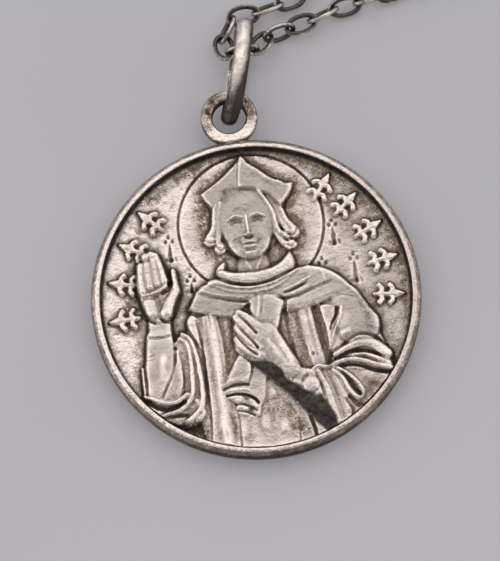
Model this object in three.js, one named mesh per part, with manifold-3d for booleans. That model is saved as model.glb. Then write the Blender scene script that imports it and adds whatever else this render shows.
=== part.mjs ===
// A struck silver medal with a hanging loop, a flat-band bail and a neck chain, lying on its back.
// Millimetres. The origin is the centre of the medal's back, +Z leaves its front, +Y runs to the loop.
import * as THREE from 'three';
import { mergeVertices } from 'three/addons/utils/BufferGeometryUtils.js';
import Module from 'manifold-3d';

// Medal
const medalR = 12;
const rimWidth = 0.65;
const medalThick = 1.9;
const fieldDepth = 0.65;
const rimRound = 0.3;
const backRound = 0.25;
const reliefRise = 1;

// Hanging loop, a flat ring soldered to the rim
const loopR = 2.05;
const loopHoleR = 1.25;
const loopThick = 0.8;
const loopDrop = 0.12;
const loopSink = 0.15;
const solderHalf = 1.45;

// Bail, a long ring of flat band
const bailLength = 8.4;
const bailHeight = 3.3;
const bandWidth = 1.25;
const bandThick = 0.55;
const bailHeading = 15.5;
const bailLean = 9.5;
const bailPlay = 0.65;
const bailSquareness = 3;

// Chain and clasp
const chainLength = 400;
const chainAcross = 1.4;
const chainLift = 0.03;
const neckOpening = 58.5;
const neckHeading = 71.5;
const claspR = 3;
const claspWire = 1.2;
const eyeR = 1.25;
const eyeWire = 0.6;
const eyeBite = 0.3;
const claspGap = 0.3;

// Fineness of the facets
const reliefRings = 34;
const bandSteps = 8;
const chainSides = 8;
const chainSteps = 80;
const claspSides = 8;
const eyeSteps = 12;

const fieldR = medalR - rimWidth;
const fieldZ = medalThick - fieldDepth;
const unit = medalR / 12;
const radians = THREE.MathUtils.degToRad;

const wasm = await Module();
wasm.setup();

// The relief's drawing. Points are in twelfths of the medal's radius, rises in shares of reliefRise above
// the field, and later rows lie over earlier ones. A panel has a border of the width edge and may lean by
// slope; a roll is round, r wide each side, thick from its top down to its sides; a fold is added to what
// lies under it; a furrow is cut into it; a dome is an oval boss.
const relief = [
  { form: 'dome', at: [0.43, 5.6], r: [5.28, 5.28], top: 0.18, thick: 0.02 },
  // Robe, with the broad fold at its left and the strips between the hand and the arm
  { form: 'panel', rise: 0.36, edge: 0.25, at: [[-4.4, -0.9], [-4.45, -6], [-4.6, -10.6], [-2, -11.8],
    [2, -11.8], [4.4, -11], [4.6, -6], [4.5, -1.2]] },
  { form: 'fold', w: [0.8, 0.8], rise: [0.14, 0.14], at: [[-3.5, -1], [-3.4, -6], [-3.5, -10.8]] },
  { form: 'fold', w: [0.32, 0.3], rise: [0.25, 0.25], at: [[3.1, -1.6], [3.3, -5.2]] },
  { form: 'fold', w: [0.4, 0.4], rise: [0.16, 0.16], at: [[3.8, -1.6], [4.05, -5.6]] },
  { form: 'furrow', w: [0.3, 0.25], rise: [0.22, 0.15], at: [[1.95, -1.6], [2.15, -5.4]] },
  { form: 'furrow', w: [0.35, 0.3], rise: [0.25, 0.25], at: [[4.25, -1.5], [4.65, -5.6]] },
  // Wide sleeve of the raised arm
  { form: 'panel', rise: 0.38, edge: 0.2, at: [[-5.6, -1.9], [-6.4, -2.4], [-8.2, -1.9], [-8.5, -3.5],
    [-8.95, -4.5], [-9.1, -6.4], [-8.2, -7.8], [-6.3, -9], [-5.2, -8.6], [-4.6, -7.5], [-4.6, -5], [-5.1, -2.2]] },
  { form: 'fold', w: [0.25, 0.3], rise: [0.2, 0.22], at: [[-6, -2.3], [-5.5, -3.2], [-5.5, -5.5], [-5.8, -6.8],
    [-6.7, -7.6], [-7.9, -7.9]] },
  { form: 'fold', w: [0.25, 0.3], rise: [0.2, 0.22], at: [[-5.6, -2], [-5.05, -3], [-4.85, -5], [-4.85, -7.2],
    [-5.2, -8.1], [-6.2, -8.7]] },
  { form: 'roll', r: [0.95, 1.25], top: [0.68, 0.72], thick: 0.3, at: [[-7.35, -2.2], [-7.5, -4], [-7.45, -5.6]] },
  { form: 'fold', w: [0.2, 0.2], rise: [0.18, 0.18], at: [[-8.9, -6.3], [-7.6, -7], [-6.2, -6.6], [-5.9, -5.8]] },
  { form: 'panel', rise: 0.45, edge: 0.2, at: [[-5.3, -1.1], [-4.7, -0.6], [-4.4, -1.6], [-4.5, -3.3],
    [-5.1, -2.2]] },
  // Arm laid across the body, its sleeve gathered at the elbow
  { form: 'panel', rise: 0.45, edge: 0.25, at: [[4.6, -1.2], [7.3, -1], [8, -2.4], [8.6, -4.2], [8.95, -5.4],
    [9.1, -7], [8.6, -8], [6.6, -9.8], [4.6, -10.8], [3.6, -9.4], [2.9, -7.6], [3.1, -6.1], [4.5, -6], [4.9, -4]] },
  { form: 'roll', r: [1.5, 1.7], top: [0.8, 0.85], thick: 0.4, at: [[6.1, -1.6], [6.7, -3.6]] },
  { form: 'fold', w: [0.3, 0.35], rise: [0.2, 0.25], at: [[5, -5.1], [6, -4.5], [7, -4.3], [8, -4.6], [8.7, -5.3]] },
  { form: 'fold', w: [0.25, 0.3], rise: [0.25, 0.25], at: [[4.8, -5.85], [5.9, -5.65], [7, -5.9], [8.7, -6.8]] },
  { form: 'furrow', w: [0.3, 0.4], rise: [0.1, 0.3], at: [[5.4, -6.1], [6.8, -6.4], [8.7, -7.2]] },
  { form: 'fold', w: [0.25, 0.25], rise: [0.2, 0.25], at: [[5, -6.2], [6, -7.2], [6.6, -8.3]] },
  { form: 'fold', w: [0.3, 0.35], rise: [0.25, 0.2], at: [[3.6, -6.2], [4, -7.6], [4.5, -9.8]] },
  { form: 'fold', w: [0.3, 0.35], rise: [0.25, 0.2], at: [[4.4, -6.3], [5, -7.8], [5.3, -9.4]] },
  // Cape and rolled collar
  { form: 'panel', rise: 0.52, edge: 0.2, at: [[-3.4, 1.4], [-4.3, 0.95], [-5.05, -0.35], [-4, -0.85],
    [-2, -1.42], [-0.5, -0.8], [1.9, -0.8], [2, -1.5], [4.1, -1.4], [6, -0.95], [7.4, -1.1], [7, -0.35],
    [6.25, 0.7], [5.2, 1.4], [3.9, 1.78], [0, 0.8]] },
  { form: 'fold', w: [0.25, 0.2], rise: [0.12, 0.08], at: [[2.1, 0.1], [4.2, 0.9]] },
  { form: 'fold', w: [0.25, 0.2], rise: [0.12, 0.08], at: [[-1, -0.2], [-4, 0.75]] },
  { form: 'roll', r: [0.38, 0.38], top: [0.62, 0.62], thick: 0.2, at: [[-3.2, 1.35], [-2, 0.8], [-0.8, 0.5],
    [0.4, 0.45], [1.6, 0.65], [2.7, 1.1], [3.5, 1.6]] },
  // Neck, hair, head, cap and collar band
  { form: 'roll', r: [1.1, 1.2], top: [0.5, 0.5], thick: 0.3, at: [[0.2, 3.6], [0.2, 1.8]] },
  { form: 'roll', r: [0.3, 0.5], top: [0.5, 0.55], thick: 0.3, at: [[-2, 6.8], [-2.3, 5.6], [-2.55, 4.6]] },
  { form: 'roll', r: [0.4, 0.35], top: [0.5, 0.45], thick: 0.3, at: [[-2.3, 4.2], [-2, 3.7]] },
  { form: 'roll', r: [0.3, 0.5], top: [0.55, 0.55], thick: 0.3, at: [[1.6, 7.4], [2.3, 6.3], [2.5, 5.3], [3.2, 4.6]] },
  { form: 'roll', r: [0.3, 0.4], top: [0.5, 0.45], thick: 0.3, at: [[2.2, 4.8], [2.4, 4.1], [3, 3.5]] },
  { form: 'dome', at: [0.1, 5.3], r: [1.85, 2.55], top: 0.92, thick: 0.5 },
  { form: 'roll', r: [0.18, 0.34], top: [0.98, 1], thick: 0.2, at: [[0.1, 5.9], [0.1, 4.7]] },
  { form: 'panel', rise: 0.72, edge: 0.15, slope: [0.1, 0], at: [[-3.05, 8.5], [-1.5, 9.25], [-0.4, 9.95],
    [0.4, 10.65], [-0.1, 8.3], [-1.1, 8], [-2.1, 6.9]] },
  { form: 'panel', rise: 0.82, edge: 0.15, slope: [-0.08, 0], at: [[0.4, 10.65], [0.9, 10.1], [2, 9.6],
    [3.2, 8.5], [3.95, 8.4], [3, 6.6], [1.9, 7.5], [0.9, 8], [-0.1, 8.3]] },
  { form: 'panel', rise: 0.72, edge: 0.25, at: [[-2.5, 2.3], [-1.2, 2], [0, 1.85], [1.2, 2], [2.2, 2.4],
    [2.9, 3], [3.1, 1.8], [1.6, 1.1], [0.2, 0.9], [-1.2, 1.1], [-2.5, 1.7]] },
  // Scroll, and the hand that holds it
  { form: 'roll', r: [1.25, 1], top: [0.74, 0.7], thick: 0.25, at: [[0.75, -1.2], [0.4, -2.4]] },
  { form: 'roll', r: [0.95, 1.4], top: [0.66, 0.62], thick: 0.2, at: [[-1.2, -5.2], [-1.95, -6.6]] },
  { form: 'roll', r: [0.9, 0.7], top: [0.5, 0.48], thick: 0.12, at: [[-1.7, -7.6], [-1.8, -8.1]] },
  { form: 'roll', r: [0.85, 0.75], top: [0.6, 0.6], thick: 0.25, at: [[1.9, -6.8], [4, -9.9]] },
  { form: 'roll', r: [1, 0.85], top: [0.92, 0.85], thick: 0.35, at: [[0.5, -3.5], [1.6, -5.6]] },
  { form: 'roll', r: [0.6, 0.55], top: [0.8, 0.7], thick: 0.25, at: [[2.5, -6.3], [3, -7.1]] },
  { form: 'roll', r: [0.28, 0.22], top: [0.9, 0.84], thick: 0.2, at: [[0.35, -2.75], [-1.4, -1.15]] },
  { form: 'roll', r: [0.28, 0.22], top: [0.9, 0.82], thick: 0.2, at: [[0, -3.2], [-1.75, -1.75]] },
  { form: 'roll', r: [0.28, 0.22], top: [0.9, 0.8], thick: 0.2, at: [[-0.1, -3.9], [-1.85, -2.5]] },
  { form: 'roll', r: [0.28, 0.22], top: [0.88, 0.78], thick: 0.2, at: [[-0.2, -4.5], [-1.95, -3.3]] },
  // Raised hand: wrist, palm, ball of the thumb, the pad under the fingers, the fingers and the thumb
  { form: 'roll', r: [0.72, 0.75], top: [0.5, 0.55], thick: 0.25, at: [[-7.2, -0.9], [-7.25, -1.9]] },
  { form: 'panel', rise: 0.6, edge: 0.3, at: [[-8.35, 1.7], [-8.4, 0.8], [-7.95, -0.65], [-7.2, -0.8],
    [-6.2, -0.7], [-5.75, 0.3], [-5.4, 1.2], [-5.6, 1.9], [-7, 1.9]] },
  { form: 'roll', r: [0.45, 0.5], top: [0.78, 0.82], thick: 0.3, at: [[-5.8, 1.2], [-6.6, -0.3]] },
  { form: 'roll', r: [0.3, 0.3], top: [0.84, 0.84], thick: 0.25, at: [[-8.05, 1.35], [-6.5, 1.75]] },
  { form: 'roll', r: [0.23, 0.22], top: [0.8, 0.78], thick: 0.25, at: [[-8.1, 1.6], [-8.05, 3.45]] },
  { form: 'roll', r: [0.23, 0.24], top: [0.84, 0.84], thick: 0.25, at: [[-7.5, 1.9], [-7.55, 4.1]] },
  { form: 'roll', r: [0.23, 0.22], top: [0.84, 0.82], thick: 0.25, at: [[-6.95, 2.1], [-7.1, 4.2]] },
  { form: 'roll', r: [0.23, 0.2], top: [0.82, 0.8], thick: 0.25, at: [[-6.4, 2.1], [-6.85, 4.2]] },
  { form: 'roll', r: [0.25, 0.22], top: [0.76, 0.76], thick: 0.25, at: [[-5.65, 1.5], [-5.75, 2.75]] },
];

// Sprigs of the border: each is a stem with pairs of leaves, turned to point at the rim
const sprigRise = 0.3;
const sprigReach = 9.7;
const sprigAngles = [-92, -76, -60, -45, 38, 51, 66, 81, 97];
const sprigStrokes = [
  { r: [0.16, 0.22], at: [[0, -1.05], [0, -0.1], [0, 1]] },
  { r: [0.14, 0.2], at: [[0, -0.7], [0.45, -0.35], [0.85, -0.6]] },
  { r: [0.14, 0.2], at: [[0, -0.7], [-0.45, -0.35], [-0.85, -0.6]] },
  { r: [0.14, 0.2], at: [[0, 0], [0.45, 0.45], [0.8, 0.3]] },
  { r: [0.14, 0.2], at: [[0, 0], [-0.45, 0.45], [-0.8, 0.3]] },
];
for (const degrees of sprigAngles) {
  const turn = radians(degrees);
  for (const stroke of sprigStrokes) {
    const at = stroke.at.map(([across, out]) => [
      (out + sprigReach) * Math.sin(turn) + across * Math.cos(turn),
      (out + sprigReach) * Math.cos(turn) - across * Math.sin(turn)]);
    relief.push({ form: 'roll', r: stroke.r, top: [sprigRise, sprigRise], thick: 0.1, at });
  }
}

// Spots sunk into the field: three dots over a spreading tail
const spotDepth = 0.12;
const spots = [[-5.7, 4.7], [-4.55, 1.55], [6.3, 4.2], [5.15, 1.5], [7.45, 1.4]];
for (const [x, y] of spots) {
  relief.push({ form: 'furrow', w: [0.2, 0.5], rise: [spotDepth, spotDepth], at: [[x, y], [x, y - 0.8]] });
  relief.push({ form: 'furrow', w: [0.3, 0.3], rise: [spotDepth, spotDepth], at: [[x - 0.15, y + 0.6], [x + 0.15, y + 0.6]] });
}

// A drawn row's points made into a smooth line
function drawnLine(row) {
  const closed = row.form === 'panel';
  const points = row.at.map(([x, y]) => new THREE.Vector3(x, y, 0));
  if (closed || points.length < 3) return points;
  return new THREE.CatmullRomCurve3(points).getPoints(points.length * 3);
}

// The nearest point of a line: its distance and how far along the line it lies, from 0 to 1
function nearest(line, x, y, closed) {
  let best = { gap: Infinity, along: 0 };
  const count = closed ? line.length : line.length - 1;
  for (let i = 0; i < count; i++) {
    const a = line[i];
    const b = line[(i + 1) % line.length];
    const run = (b.x - a.x) ** 2 + (b.y - a.y) ** 2;
    const share = THREE.MathUtils.clamp(((x - a.x) * (b.x - a.x) + (y - a.y) * (b.y - a.y)) / run, 0, 1);
    const gap = Math.hypot(x - a.x - share * (b.x - a.x), y - a.y - share * (b.y - a.y));
    if (gap < best.gap) best = { gap, along: (i + share) / count };
  }
  return best;
}

function inside(line, x, y) {
  let within = false;
  for (let i = 0, j = line.length - 1; i < line.length; j = i++) {
    const crosses = (line[i].y > y) !== (line[j].y > y);
    if (crosses && x < line[i].x + (line[j].x - line[i].x) * (y - line[i].y) / (line[j].y - line[i].y)) {
      within = !within;
    }
  }
  return within;
}

// Each form takes the height so far and gives the height with its row laid on, in shares of reliefRise
const roundOff = (share) => Math.sqrt(Math.max(0, 1 - share * share));
const forms = {
  panel(row, x, y, height) {
    if (!inside(row.line, x, y)) return height;
    const { gap } = nearest(row.line, x, y, true);
    const cover = roundOff(1 - Math.min(1, gap / row.edge));
    const [leanX, leanY] = row.slope ?? [0, 0];
    const lean = leanX * (x - row.middle.x) + leanY * (y - row.middle.y);
    return height + (row.rise + lean - height) * cover;
  },
  roll(row, x, y, height) {
    const { gap, along } = nearest(row.line, x, y);
    const radius = THREE.MathUtils.lerp(row.r[0], row.r[1], along);
    if (gap >= radius) return height;
    const top = THREE.MathUtils.lerp(row.top[0], row.top[1], along);
    return Math.max(height, top - row.thick * (1 - roundOff(gap / radius)));
  },
  fold(row, x, y, height) {
    const { gap, along } = nearest(row.line, x, y);
    const share = gap / THREE.MathUtils.lerp(row.w[0], row.w[1], along);
    if (share >= 1) return height;
    return height + THREE.MathUtils.lerp(row.rise[0], row.rise[1], along) * (1 + Math.cos(Math.PI * share)) / 2;
  },
  furrow(row, x, y, height) {
    return 2 * height - forms.fold(row, x, y, height);
  },
  dome(row, x, y, height) {
    const share = Math.hypot((x - row.at[0]) / row.r[0], (y - row.at[1]) / row.r[1]);
    if (share >= 1) return height;
    return Math.max(height, row.top - row.thick * (1 - roundOff(share)));
  },
};

for (const row of relief) {
  if (row.form === 'dome') continue;
  row.line = drawnLine(row);
  row.middle = row.line.reduce((sum, p) => sum.add(p), new THREE.Vector3()).divideScalar(row.line.length);
}

function faceHeight(x, y) {
  let height = 0;
  for (const row of relief) height = forms[row.form](row, x / unit, y / unit, height);
  return fieldZ + height * reliefRise;
}

function solidFrom(geometry) {
  const bare = geometry.index ? geometry.clone() : mergeVertices(geometry.clone());
  bare.deleteAttribute('normal');
  bare.deleteAttribute('uv');
  const merged = mergeVertices(bare, 1e-4);
  return new wasm.Manifold(new wasm.Mesh({
    numProp: 3,
    vertProperties: new Float32Array(merged.attributes.position.array),
    triVerts: new Uint32Array(merged.index.array),
  }));
}

function geometryFrom(solid) {
  const mesh = solid.getMesh();
  const geometry = new THREE.BufferGeometry();
  geometry.setAttribute('position', new THREE.BufferAttribute(new Float32Array(mesh.vertProperties), 3));
  geometry.setIndex(new THREE.BufferAttribute(new Uint32Array(mesh.triVerts), 1));
  geometry.computeVertexNormals();
  return geometry;
}

// The rim's section from the field outward: out in shares of its width, down in shares of its rounding
const rimProfile = [
  { out: 0.15, down: 0.15 },
  { out: 0.5, down: 0 },
  { out: 0.86, down: 0.4 },
  { out: 1, down: 1.3 },
];

// The struck disc: rings of facets over the face, then the rim's rings outward and down to the back
function discGeometry() {
  const positions = [];
  const faces = [];
  const ringStart = [];
  const turn = (ring, i) => (2 * Math.PI * i) / (6 * ring);
  for (let ring = 0; ring <= reliefRings; ring++) {
    ringStart.push(positions.length / 3);
    for (let i = 0; i < Math.max(1, 6 * ring); i++) {
      const x = fieldR * ring / reliefRings * Math.cos(ring ? turn(ring, i) : 0);
      const y = fieldR * ring / reliefRings * Math.sin(ring ? turn(ring, i) : 0);
      positions.push(x, y, faceHeight(x, y));
    }
  }
  for (let ring = 1; ring <= reliefRings; ring++) {
    const outer = (i) => ringStart[ring] + i % (6 * ring);
    const inner = (i) => ringStart[ring - 1] + (ring > 1 ? i % (6 * (ring - 1)) : 0);
    for (let sixth = 0; sixth < 6; sixth++) {
      for (let i = 0; i < ring; i++) {
        const o = sixth * ring + i;
        const n = sixth * (ring - 1) + i;
        faces.push(outer(o), outer(o + 1), inner(n));
        if (i < ring - 1) faces.push(outer(o + 1), inner(n + 1), inner(n));
      }
    }
  }
  const rimRings = rimProfile.map(({ out, down }) => [fieldR + rimWidth * out, medalThick - rimRound * down]);
  rimRings.push([medalR, backRound], [medalR - backRound, 0]);
  const around = 6 * reliefRings;
  let last = ringStart[reliefRings];
  for (const [radius, z] of rimRings) {
    const start = positions.length / 3;
    for (let i = 0; i < around; i++) {
      const angle = turn(reliefRings, i);
      positions.push(radius * Math.cos(angle), radius * Math.sin(angle), z);
    }
    for (let i = 0; i < around; i++) {
      const j = (i + 1) % around;
      faces.push(last + i, start + i, start + j, last + i, start + j, last + j);
    }
    last = start;
  }
  const centre = positions.length / 3;
  positions.push(0, 0, 0);
  for (let i = 0; i < around; i++) faces.push(last + i, centre, last + (i + 1) % around);
  const geometry = new THREE.BufferGeometry();
  geometry.setAttribute('position', new THREE.Float32BufferAttribute(positions, 3));
  geometry.setIndex(faces);
  return geometry;
}

// The loop stands on the rim's edge: its foot runs loopSink into the rim's metal
const footY = medalR - rimWidth / 2 - loopSink;
const loopY = medalR - rimWidth * 0.3 + loopR;
const loopTop = medalThick - loopDrop;
const loopBottom = loopTop - loopThick;

function loopGeometry() {
  const outline = new THREE.Shape();
  const waist = Math.acos(-solderHalf / loopR) - Math.PI / 2;
  outline.absarc(0, 0, loopR, -Math.PI / 2 + waist, Math.PI * 1.5 - waist, false);
  outline.lineTo(-solderHalf, footY - loopY);
  outline.lineTo(solderHalf, footY - loopY);
  const hole = new THREE.Path();
  hole.absarc(0, 0, loopHoleR, 0, 2 * Math.PI, true);
  outline.holes.push(hole);
  const geometry = new THREE.ExtrudeGeometry(outline, { depth: loopThick, bevelEnabled: false, curveSegments: 28 });
  geometry.translate(0, loopY, loopBottom);
  return geometry;
}

const silver = new THREE.MeshStandardMaterial({ color: 0xcfc5ba, roughness: 0.38, metalness: 0.95 });
const bandSilver = new THREE.MeshStandardMaterial({ color: 0xb5b0ac, roughness: 0.3, metalness: 0.95 });
const oxidised = new THREE.MeshStandardMaterial({ color: 0x4b4743, roughness: 0.45, metalness: 0.85 });

const medal = new THREE.Mesh(
  geometryFrom(solidFrom(discGeometry()).add(solidFrom(loopGeometry()))), silver);
medal.name = 'medal';

// The bail's ring is drawn lengthwise and upright, its band's width along the extrusion
const bailNearY = loopY - loopHoleR + bailPlay;

function bailRing(length, height) {
  const points = [];
  const count = 4 * bandSteps;
  for (let i = 0; i < count; i++) {
    const angle = (2 * Math.PI * i) / count;
    const c = Math.cos(angle);
    const s = Math.sin(angle);
    points.push(new THREE.Vector2(
      length / 2 * Math.sign(c) * Math.abs(c) ** (2 / bailSquareness),
      height / 2 * Math.sign(s) * Math.abs(s) ** (2 / bailSquareness)));
  }
  return points;
}

function bailGeometry() {
  const outline = new THREE.Shape(bailRing(bailLength, bailHeight));
  outline.holes.push(new THREE.Path(bailRing(bailLength - 2 * bandThick, bailHeight - 2 * bandThick).reverse()));
  const bevel = bandThick * 0.15;
  const geometry = new THREE.ExtrudeGeometry(outline, {
    depth: bandWidth - 2 * bevel, bevelSize: bevel, bevelThickness: bevel, bevelOffset: -bevel, bevelSegments: 1 });
  geometry.translate(bailLength / 2, bailHeight / 2, bevel - bandWidth / 2);
  return geometry;
}

const bail = new THREE.Mesh(bailGeometry(), bandSilver);
bail.name = 'bail';
// Length along local X, height along local Y: stood up, leaned to the right and turned to its heading, with
// its foot set left so that the middle of the leaning ring stays over the loop
const lean = radians(bailLean);
const heading = radians(90 - bailHeading);
const bailStand = new THREE.Group();
bailStand.add(bail);
bail.rotation.x = Math.PI / 2 + lean;
bailStand.rotation.z = heading;
const bailFootShare = 0.4;
bailStand.position.set(-bailHeight * bailFootShare * Math.sin(lean), bailNearY, bandWidth / 2 * Math.sin(lean));

// Chain. It comes in from the right, passes under the bail's upper strand, turns back round its far end and
// leaves to the right again; the rest takes the plain way round the neck. The points near the bail are
// chosen by hand, in millimetres from the bail's far end, each with its lift above the chain's level.
const chainR = chainAcross / 2;
const chainZ = chainR + chainLift;
const bailFar = new THREE.Vector3(bailLength * Math.cos(heading), bailLength * Math.sin(heading), 0)
  .add(bailStand.position).setZ(0);
const threaded = [
  [5.87, 3.85, 0], [6.72, 2.25, 0], [5.87, 1, 0], [4.37, 0.6, 0], [2.67, 0.6, 0.1], [1.07, 1, 0.3],
  [-0.43, 1, 0.35], [-1.38, 0.1, 0.3], [-1.78, -1.05, 0.3], [-1.88, -2.05, 0.55], [-1.18, -2.6, 0.85],
  [-0.23, -2.7, 0.95], [0.77, -2.5, 0.6], [2.07, -2.05, 0.2], [3.67, -1.7, 0], [6.37, -1.1, 0],
  [9.07, -0.45, 0],
].map(([x, y, lift]) => new THREE.Vector3(x, y, lift).add(bailFar));
const opening = radians(neckOpening);
const axis = radians(neckHeading);
const claspReach = claspR + 2 * eyeR - eyeBite;

// The two strands part here, each along its own heading, and meet the round of the neck as tangents
const parting = new THREE.Vector3(9.47, -0.35, 0).add(bailFar);
const outward = (point, angle) => (
  (point.x - parting.x) * Math.cos(angle) + (point.y - parting.y) * Math.sin(angle));
const threadedLength = new THREE.CatmullRomCurve3(threaded).getLength()
  - outward(threaded[0], axis + opening) - outward(threaded.at(-1), axis - opening);
const neckR = (chainLength - threadedLength) / (2 / Math.tan(opening) + Math.PI + 2 * opening);
const neckCentre = new THREE.Vector2(Math.cos(axis), Math.sin(axis))
  .multiplyScalar(neckR / Math.sin(opening)).add(parting);

function neckPoint(angle) {
  return new THREE.Vector3(
    neckCentre.x + neckR * Math.cos(angle), neckCentre.y + neckR * Math.sin(angle), chainZ);
}

const arcPoints = 10;

function chainRoute() {
  const half = Math.PI / 2 + opening;
  const claspAngle = (claspReach + claspGap) / neckR;
  const route = [];
  for (let i = 0; i <= arcPoints; i++) {
    route.push(neckPoint(axis + THREE.MathUtils.lerp(claspAngle, half, i / arcPoints)));
  }
  for (const point of threaded) route.push(point.clone().setZ(point.z + chainZ));
  for (let i = arcPoints; i >= 0; i--) {
    route.push(neckPoint(axis - THREE.MathUtils.lerp(claspAngle, half, i / arcPoints)));
  }
  return route;
}

// Steps follow the route's own points, so they are short round the bail and long round the neck
class Strand extends THREE.CatmullRomCurve3 {
  getPointAt(share, target) {
    return this.getPoint(share, target);
  }

  getTangentAt(share, target) {
    return this.getTangent(share, target);
  }
}

const strand = new Strand(chainRoute(), false, 'centripetal');
const strandSection = new THREE.Shape();
for (let i = 0; i < chainSides; i++) {
  const angle = (2 * Math.PI * (i + 0.5)) / chainSides;
  strandSection[i ? 'lineTo' : 'moveTo'](chainR * Math.cos(angle), chainR * Math.sin(angle));
}
const chain = new THREE.Mesh(
  new THREE.ExtrudeGeometry(strandSection, { steps: chainSteps, extrudePath: strand }), oxidised);
chain.name = 'chain';

// Clasp: a ring with an eye at each end, one solid
function claspGeometry() {
  const ring = new THREE.TorusGeometry(claspR - claspWire / 2, claspWire / 2, claspSides, 2 * eyeSteps);
  let solid = solidFrom(ring);
  for (const side of [-1, 1]) {
    const eye = new THREE.TorusGeometry(eyeR - eyeWire / 2, eyeWire / 2, claspSides, eyeSteps);
    eye.translate(side * (claspR + eyeR - eyeBite), 0, 0);
    solid = solid.add(solidFrom(eye));
  }
  return geometryFrom(solid);
}

const clasp = new THREE.Mesh(claspGeometry(), oxidised);
clasp.name = 'clasp';
const claspSeat = neckPoint(axis);
clasp.position.set(claspSeat.x, claspSeat.y, claspWire / 2);
clasp.rotation.z = axis + Math.PI / 2;

const pendant = new THREE.Group();
pendant.add(medal, bailStand, chain, clasp);

export default pendant;
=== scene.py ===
# A worn silver religious medal with its bail and neck chain, lying face up on a plain grey surface.
import math

import bpy
import numpy as np
from mathutils import Matrix, Vector


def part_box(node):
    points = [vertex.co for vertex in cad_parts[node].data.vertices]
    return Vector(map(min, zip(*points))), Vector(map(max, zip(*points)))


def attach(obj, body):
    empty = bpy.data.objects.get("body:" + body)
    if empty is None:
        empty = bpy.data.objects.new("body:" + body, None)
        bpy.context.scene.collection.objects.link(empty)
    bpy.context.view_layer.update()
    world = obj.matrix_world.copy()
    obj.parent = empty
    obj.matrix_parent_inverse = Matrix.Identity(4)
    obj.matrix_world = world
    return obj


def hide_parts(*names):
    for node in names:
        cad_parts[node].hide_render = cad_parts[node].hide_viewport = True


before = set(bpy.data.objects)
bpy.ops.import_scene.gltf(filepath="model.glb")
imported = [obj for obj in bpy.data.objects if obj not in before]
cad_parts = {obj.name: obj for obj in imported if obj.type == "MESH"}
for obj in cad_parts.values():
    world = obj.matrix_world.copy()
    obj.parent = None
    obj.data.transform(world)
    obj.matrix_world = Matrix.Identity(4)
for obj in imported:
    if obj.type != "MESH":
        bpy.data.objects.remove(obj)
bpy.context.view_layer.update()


# The camera looks down on the medal from beyond its lower edge, far enough away to flatten the perspective.
# It stands 16 degrees off the medal's axis, so the near side of the rim shows.
mm = 0.001
medal_thick = 1.9
rim_middle = Vector((0, 0, medal_thick * mm))
tilt, roll = math.radians(16.3), math.radians(3.53)
towards = Vector((-0.0849, -0.9963, 0))
back = towards * math.sin(tilt) + Vector((0, 0, math.cos(tilt)))
along = Vector((-towards.y, towards.x, 0))
above = back.cross(along)
right = along * math.cos(roll) - above * math.sin(roll)
up = along * math.sin(roll) + above * math.cos(roll)
view_height, aim_left, aim_up = 40.65 * mm, 0.433 * mm, 1.044 * mm
lens, sensor = 200, 36
camera_data = bpy.data.cameras.new("camera")
camera_data.lens, camera_data.sensor_width = lens, sensor
camera_data.clip_start, camera_data.clip_end = 0.01, 10
camera = bpy.data.objects.new("camera", camera_data)
aim = rim_middle - right * aim_left + up * aim_up
camera.matrix_world = (Matrix.Translation(aim + back * (view_height * lens / sensor))
                       @ Matrix((right, up, back)).transposed().to_4x4())
bpy.context.scene.collection.objects.link(camera)
bpy.context.scene.camera = camera


# The light is soft daylight from all round, a little stronger from a window above and one at each side.
# Whoever looks down at the medal stands dark against it, which the polished places show.
class Shade:
    """One output of a material's nodes. Arithmetic on it adds Math nodes; node() adds any other kind."""

    def __init__(self, tree, socket=None):
        self.tree, self.socket = tree, socket

    def node(self, kind, inputs, out=0, **settings):
        made = self.tree.nodes.new(kind)
        for name, value in settings.items():
            setattr(made, name, value)
        for name, value in inputs.items():
            self.feed(made.inputs[name], value)
        return Shade(self.tree, made.outputs[out])

    def feed(self, socket, value):
        if isinstance(value, Shade):
            self.tree.links.new(value.socket, socket)
        else:
            socket.default_value = value

    def math(self, operation, first, second):
        return self.node("ShaderNodeMath", {0: first, 1: second}, operation=operation)

    def __add__(self, other):
        return self.math("ADD", self, other)

    def __sub__(self, other):
        return self.math("SUBTRACT", self, other)

    def __rsub__(self, other):
        return self.math("SUBTRACT", other, self)

    def __mul__(self, other):
        return self.math("MULTIPLY", self, other)

    __radd__, __rmul__ = __add__, __mul__

    def at_most(self, limit):
        return self.math("MINIMUM", self, limit)

    def ramp(self, low, high):
        """0 below low and 1 above high, with a smooth change between."""
        return self.node("ShaderNodeMapRange", {0: self, 1: low, 2: high}, interpolation_type="SMOOTHSTEP")

    def mixed(self, first, second):
        """The first colour where this is 0, the second where it is 1."""
        return self.node("ShaderNodeMix", {0: self, 6: first, 7: second}, out=2, data_type="RGBA")


world = bpy.data.worlds.new("daylight")
bpy.context.scene.world = world
world.use_nodes = True
sky = world.node_tree.nodes["Background"].inputs
places = Shade(world.node_tree).node("ShaderNodeTexCoord", {})


def facing(direction):
    """1 looking straight along the direction, 0 across it."""
    return places.node("ShaderNodeVectorMath", {0: places, 1: Vector(direction).normalized()}, out=1,
                       operation="DOT_PRODUCT")


window = facing((0.1, 0.6, 0.8)).ramp(0.88, 0.95)
window_left = facing((-0.75, 0.2, 0.63)).ramp(0.86, 0.94)
window_right = facing((0.8, 0.1, 0.6)).ramp(0.88, 0.94)
person = facing((-0.05, -0.62, 0.78)).ramp(0.84, 0.96)
glow = 0.78 - person * 0.55 + window * 0.75 + window_left * 0.7 + window_right * 0.5
places.feed(sky["Color"], window.mixed((1.0, 0.985, 1.0, 1), (1.0, 1.0, 0.99, 1)))
places.feed(sky["Strength"], glow)


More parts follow.
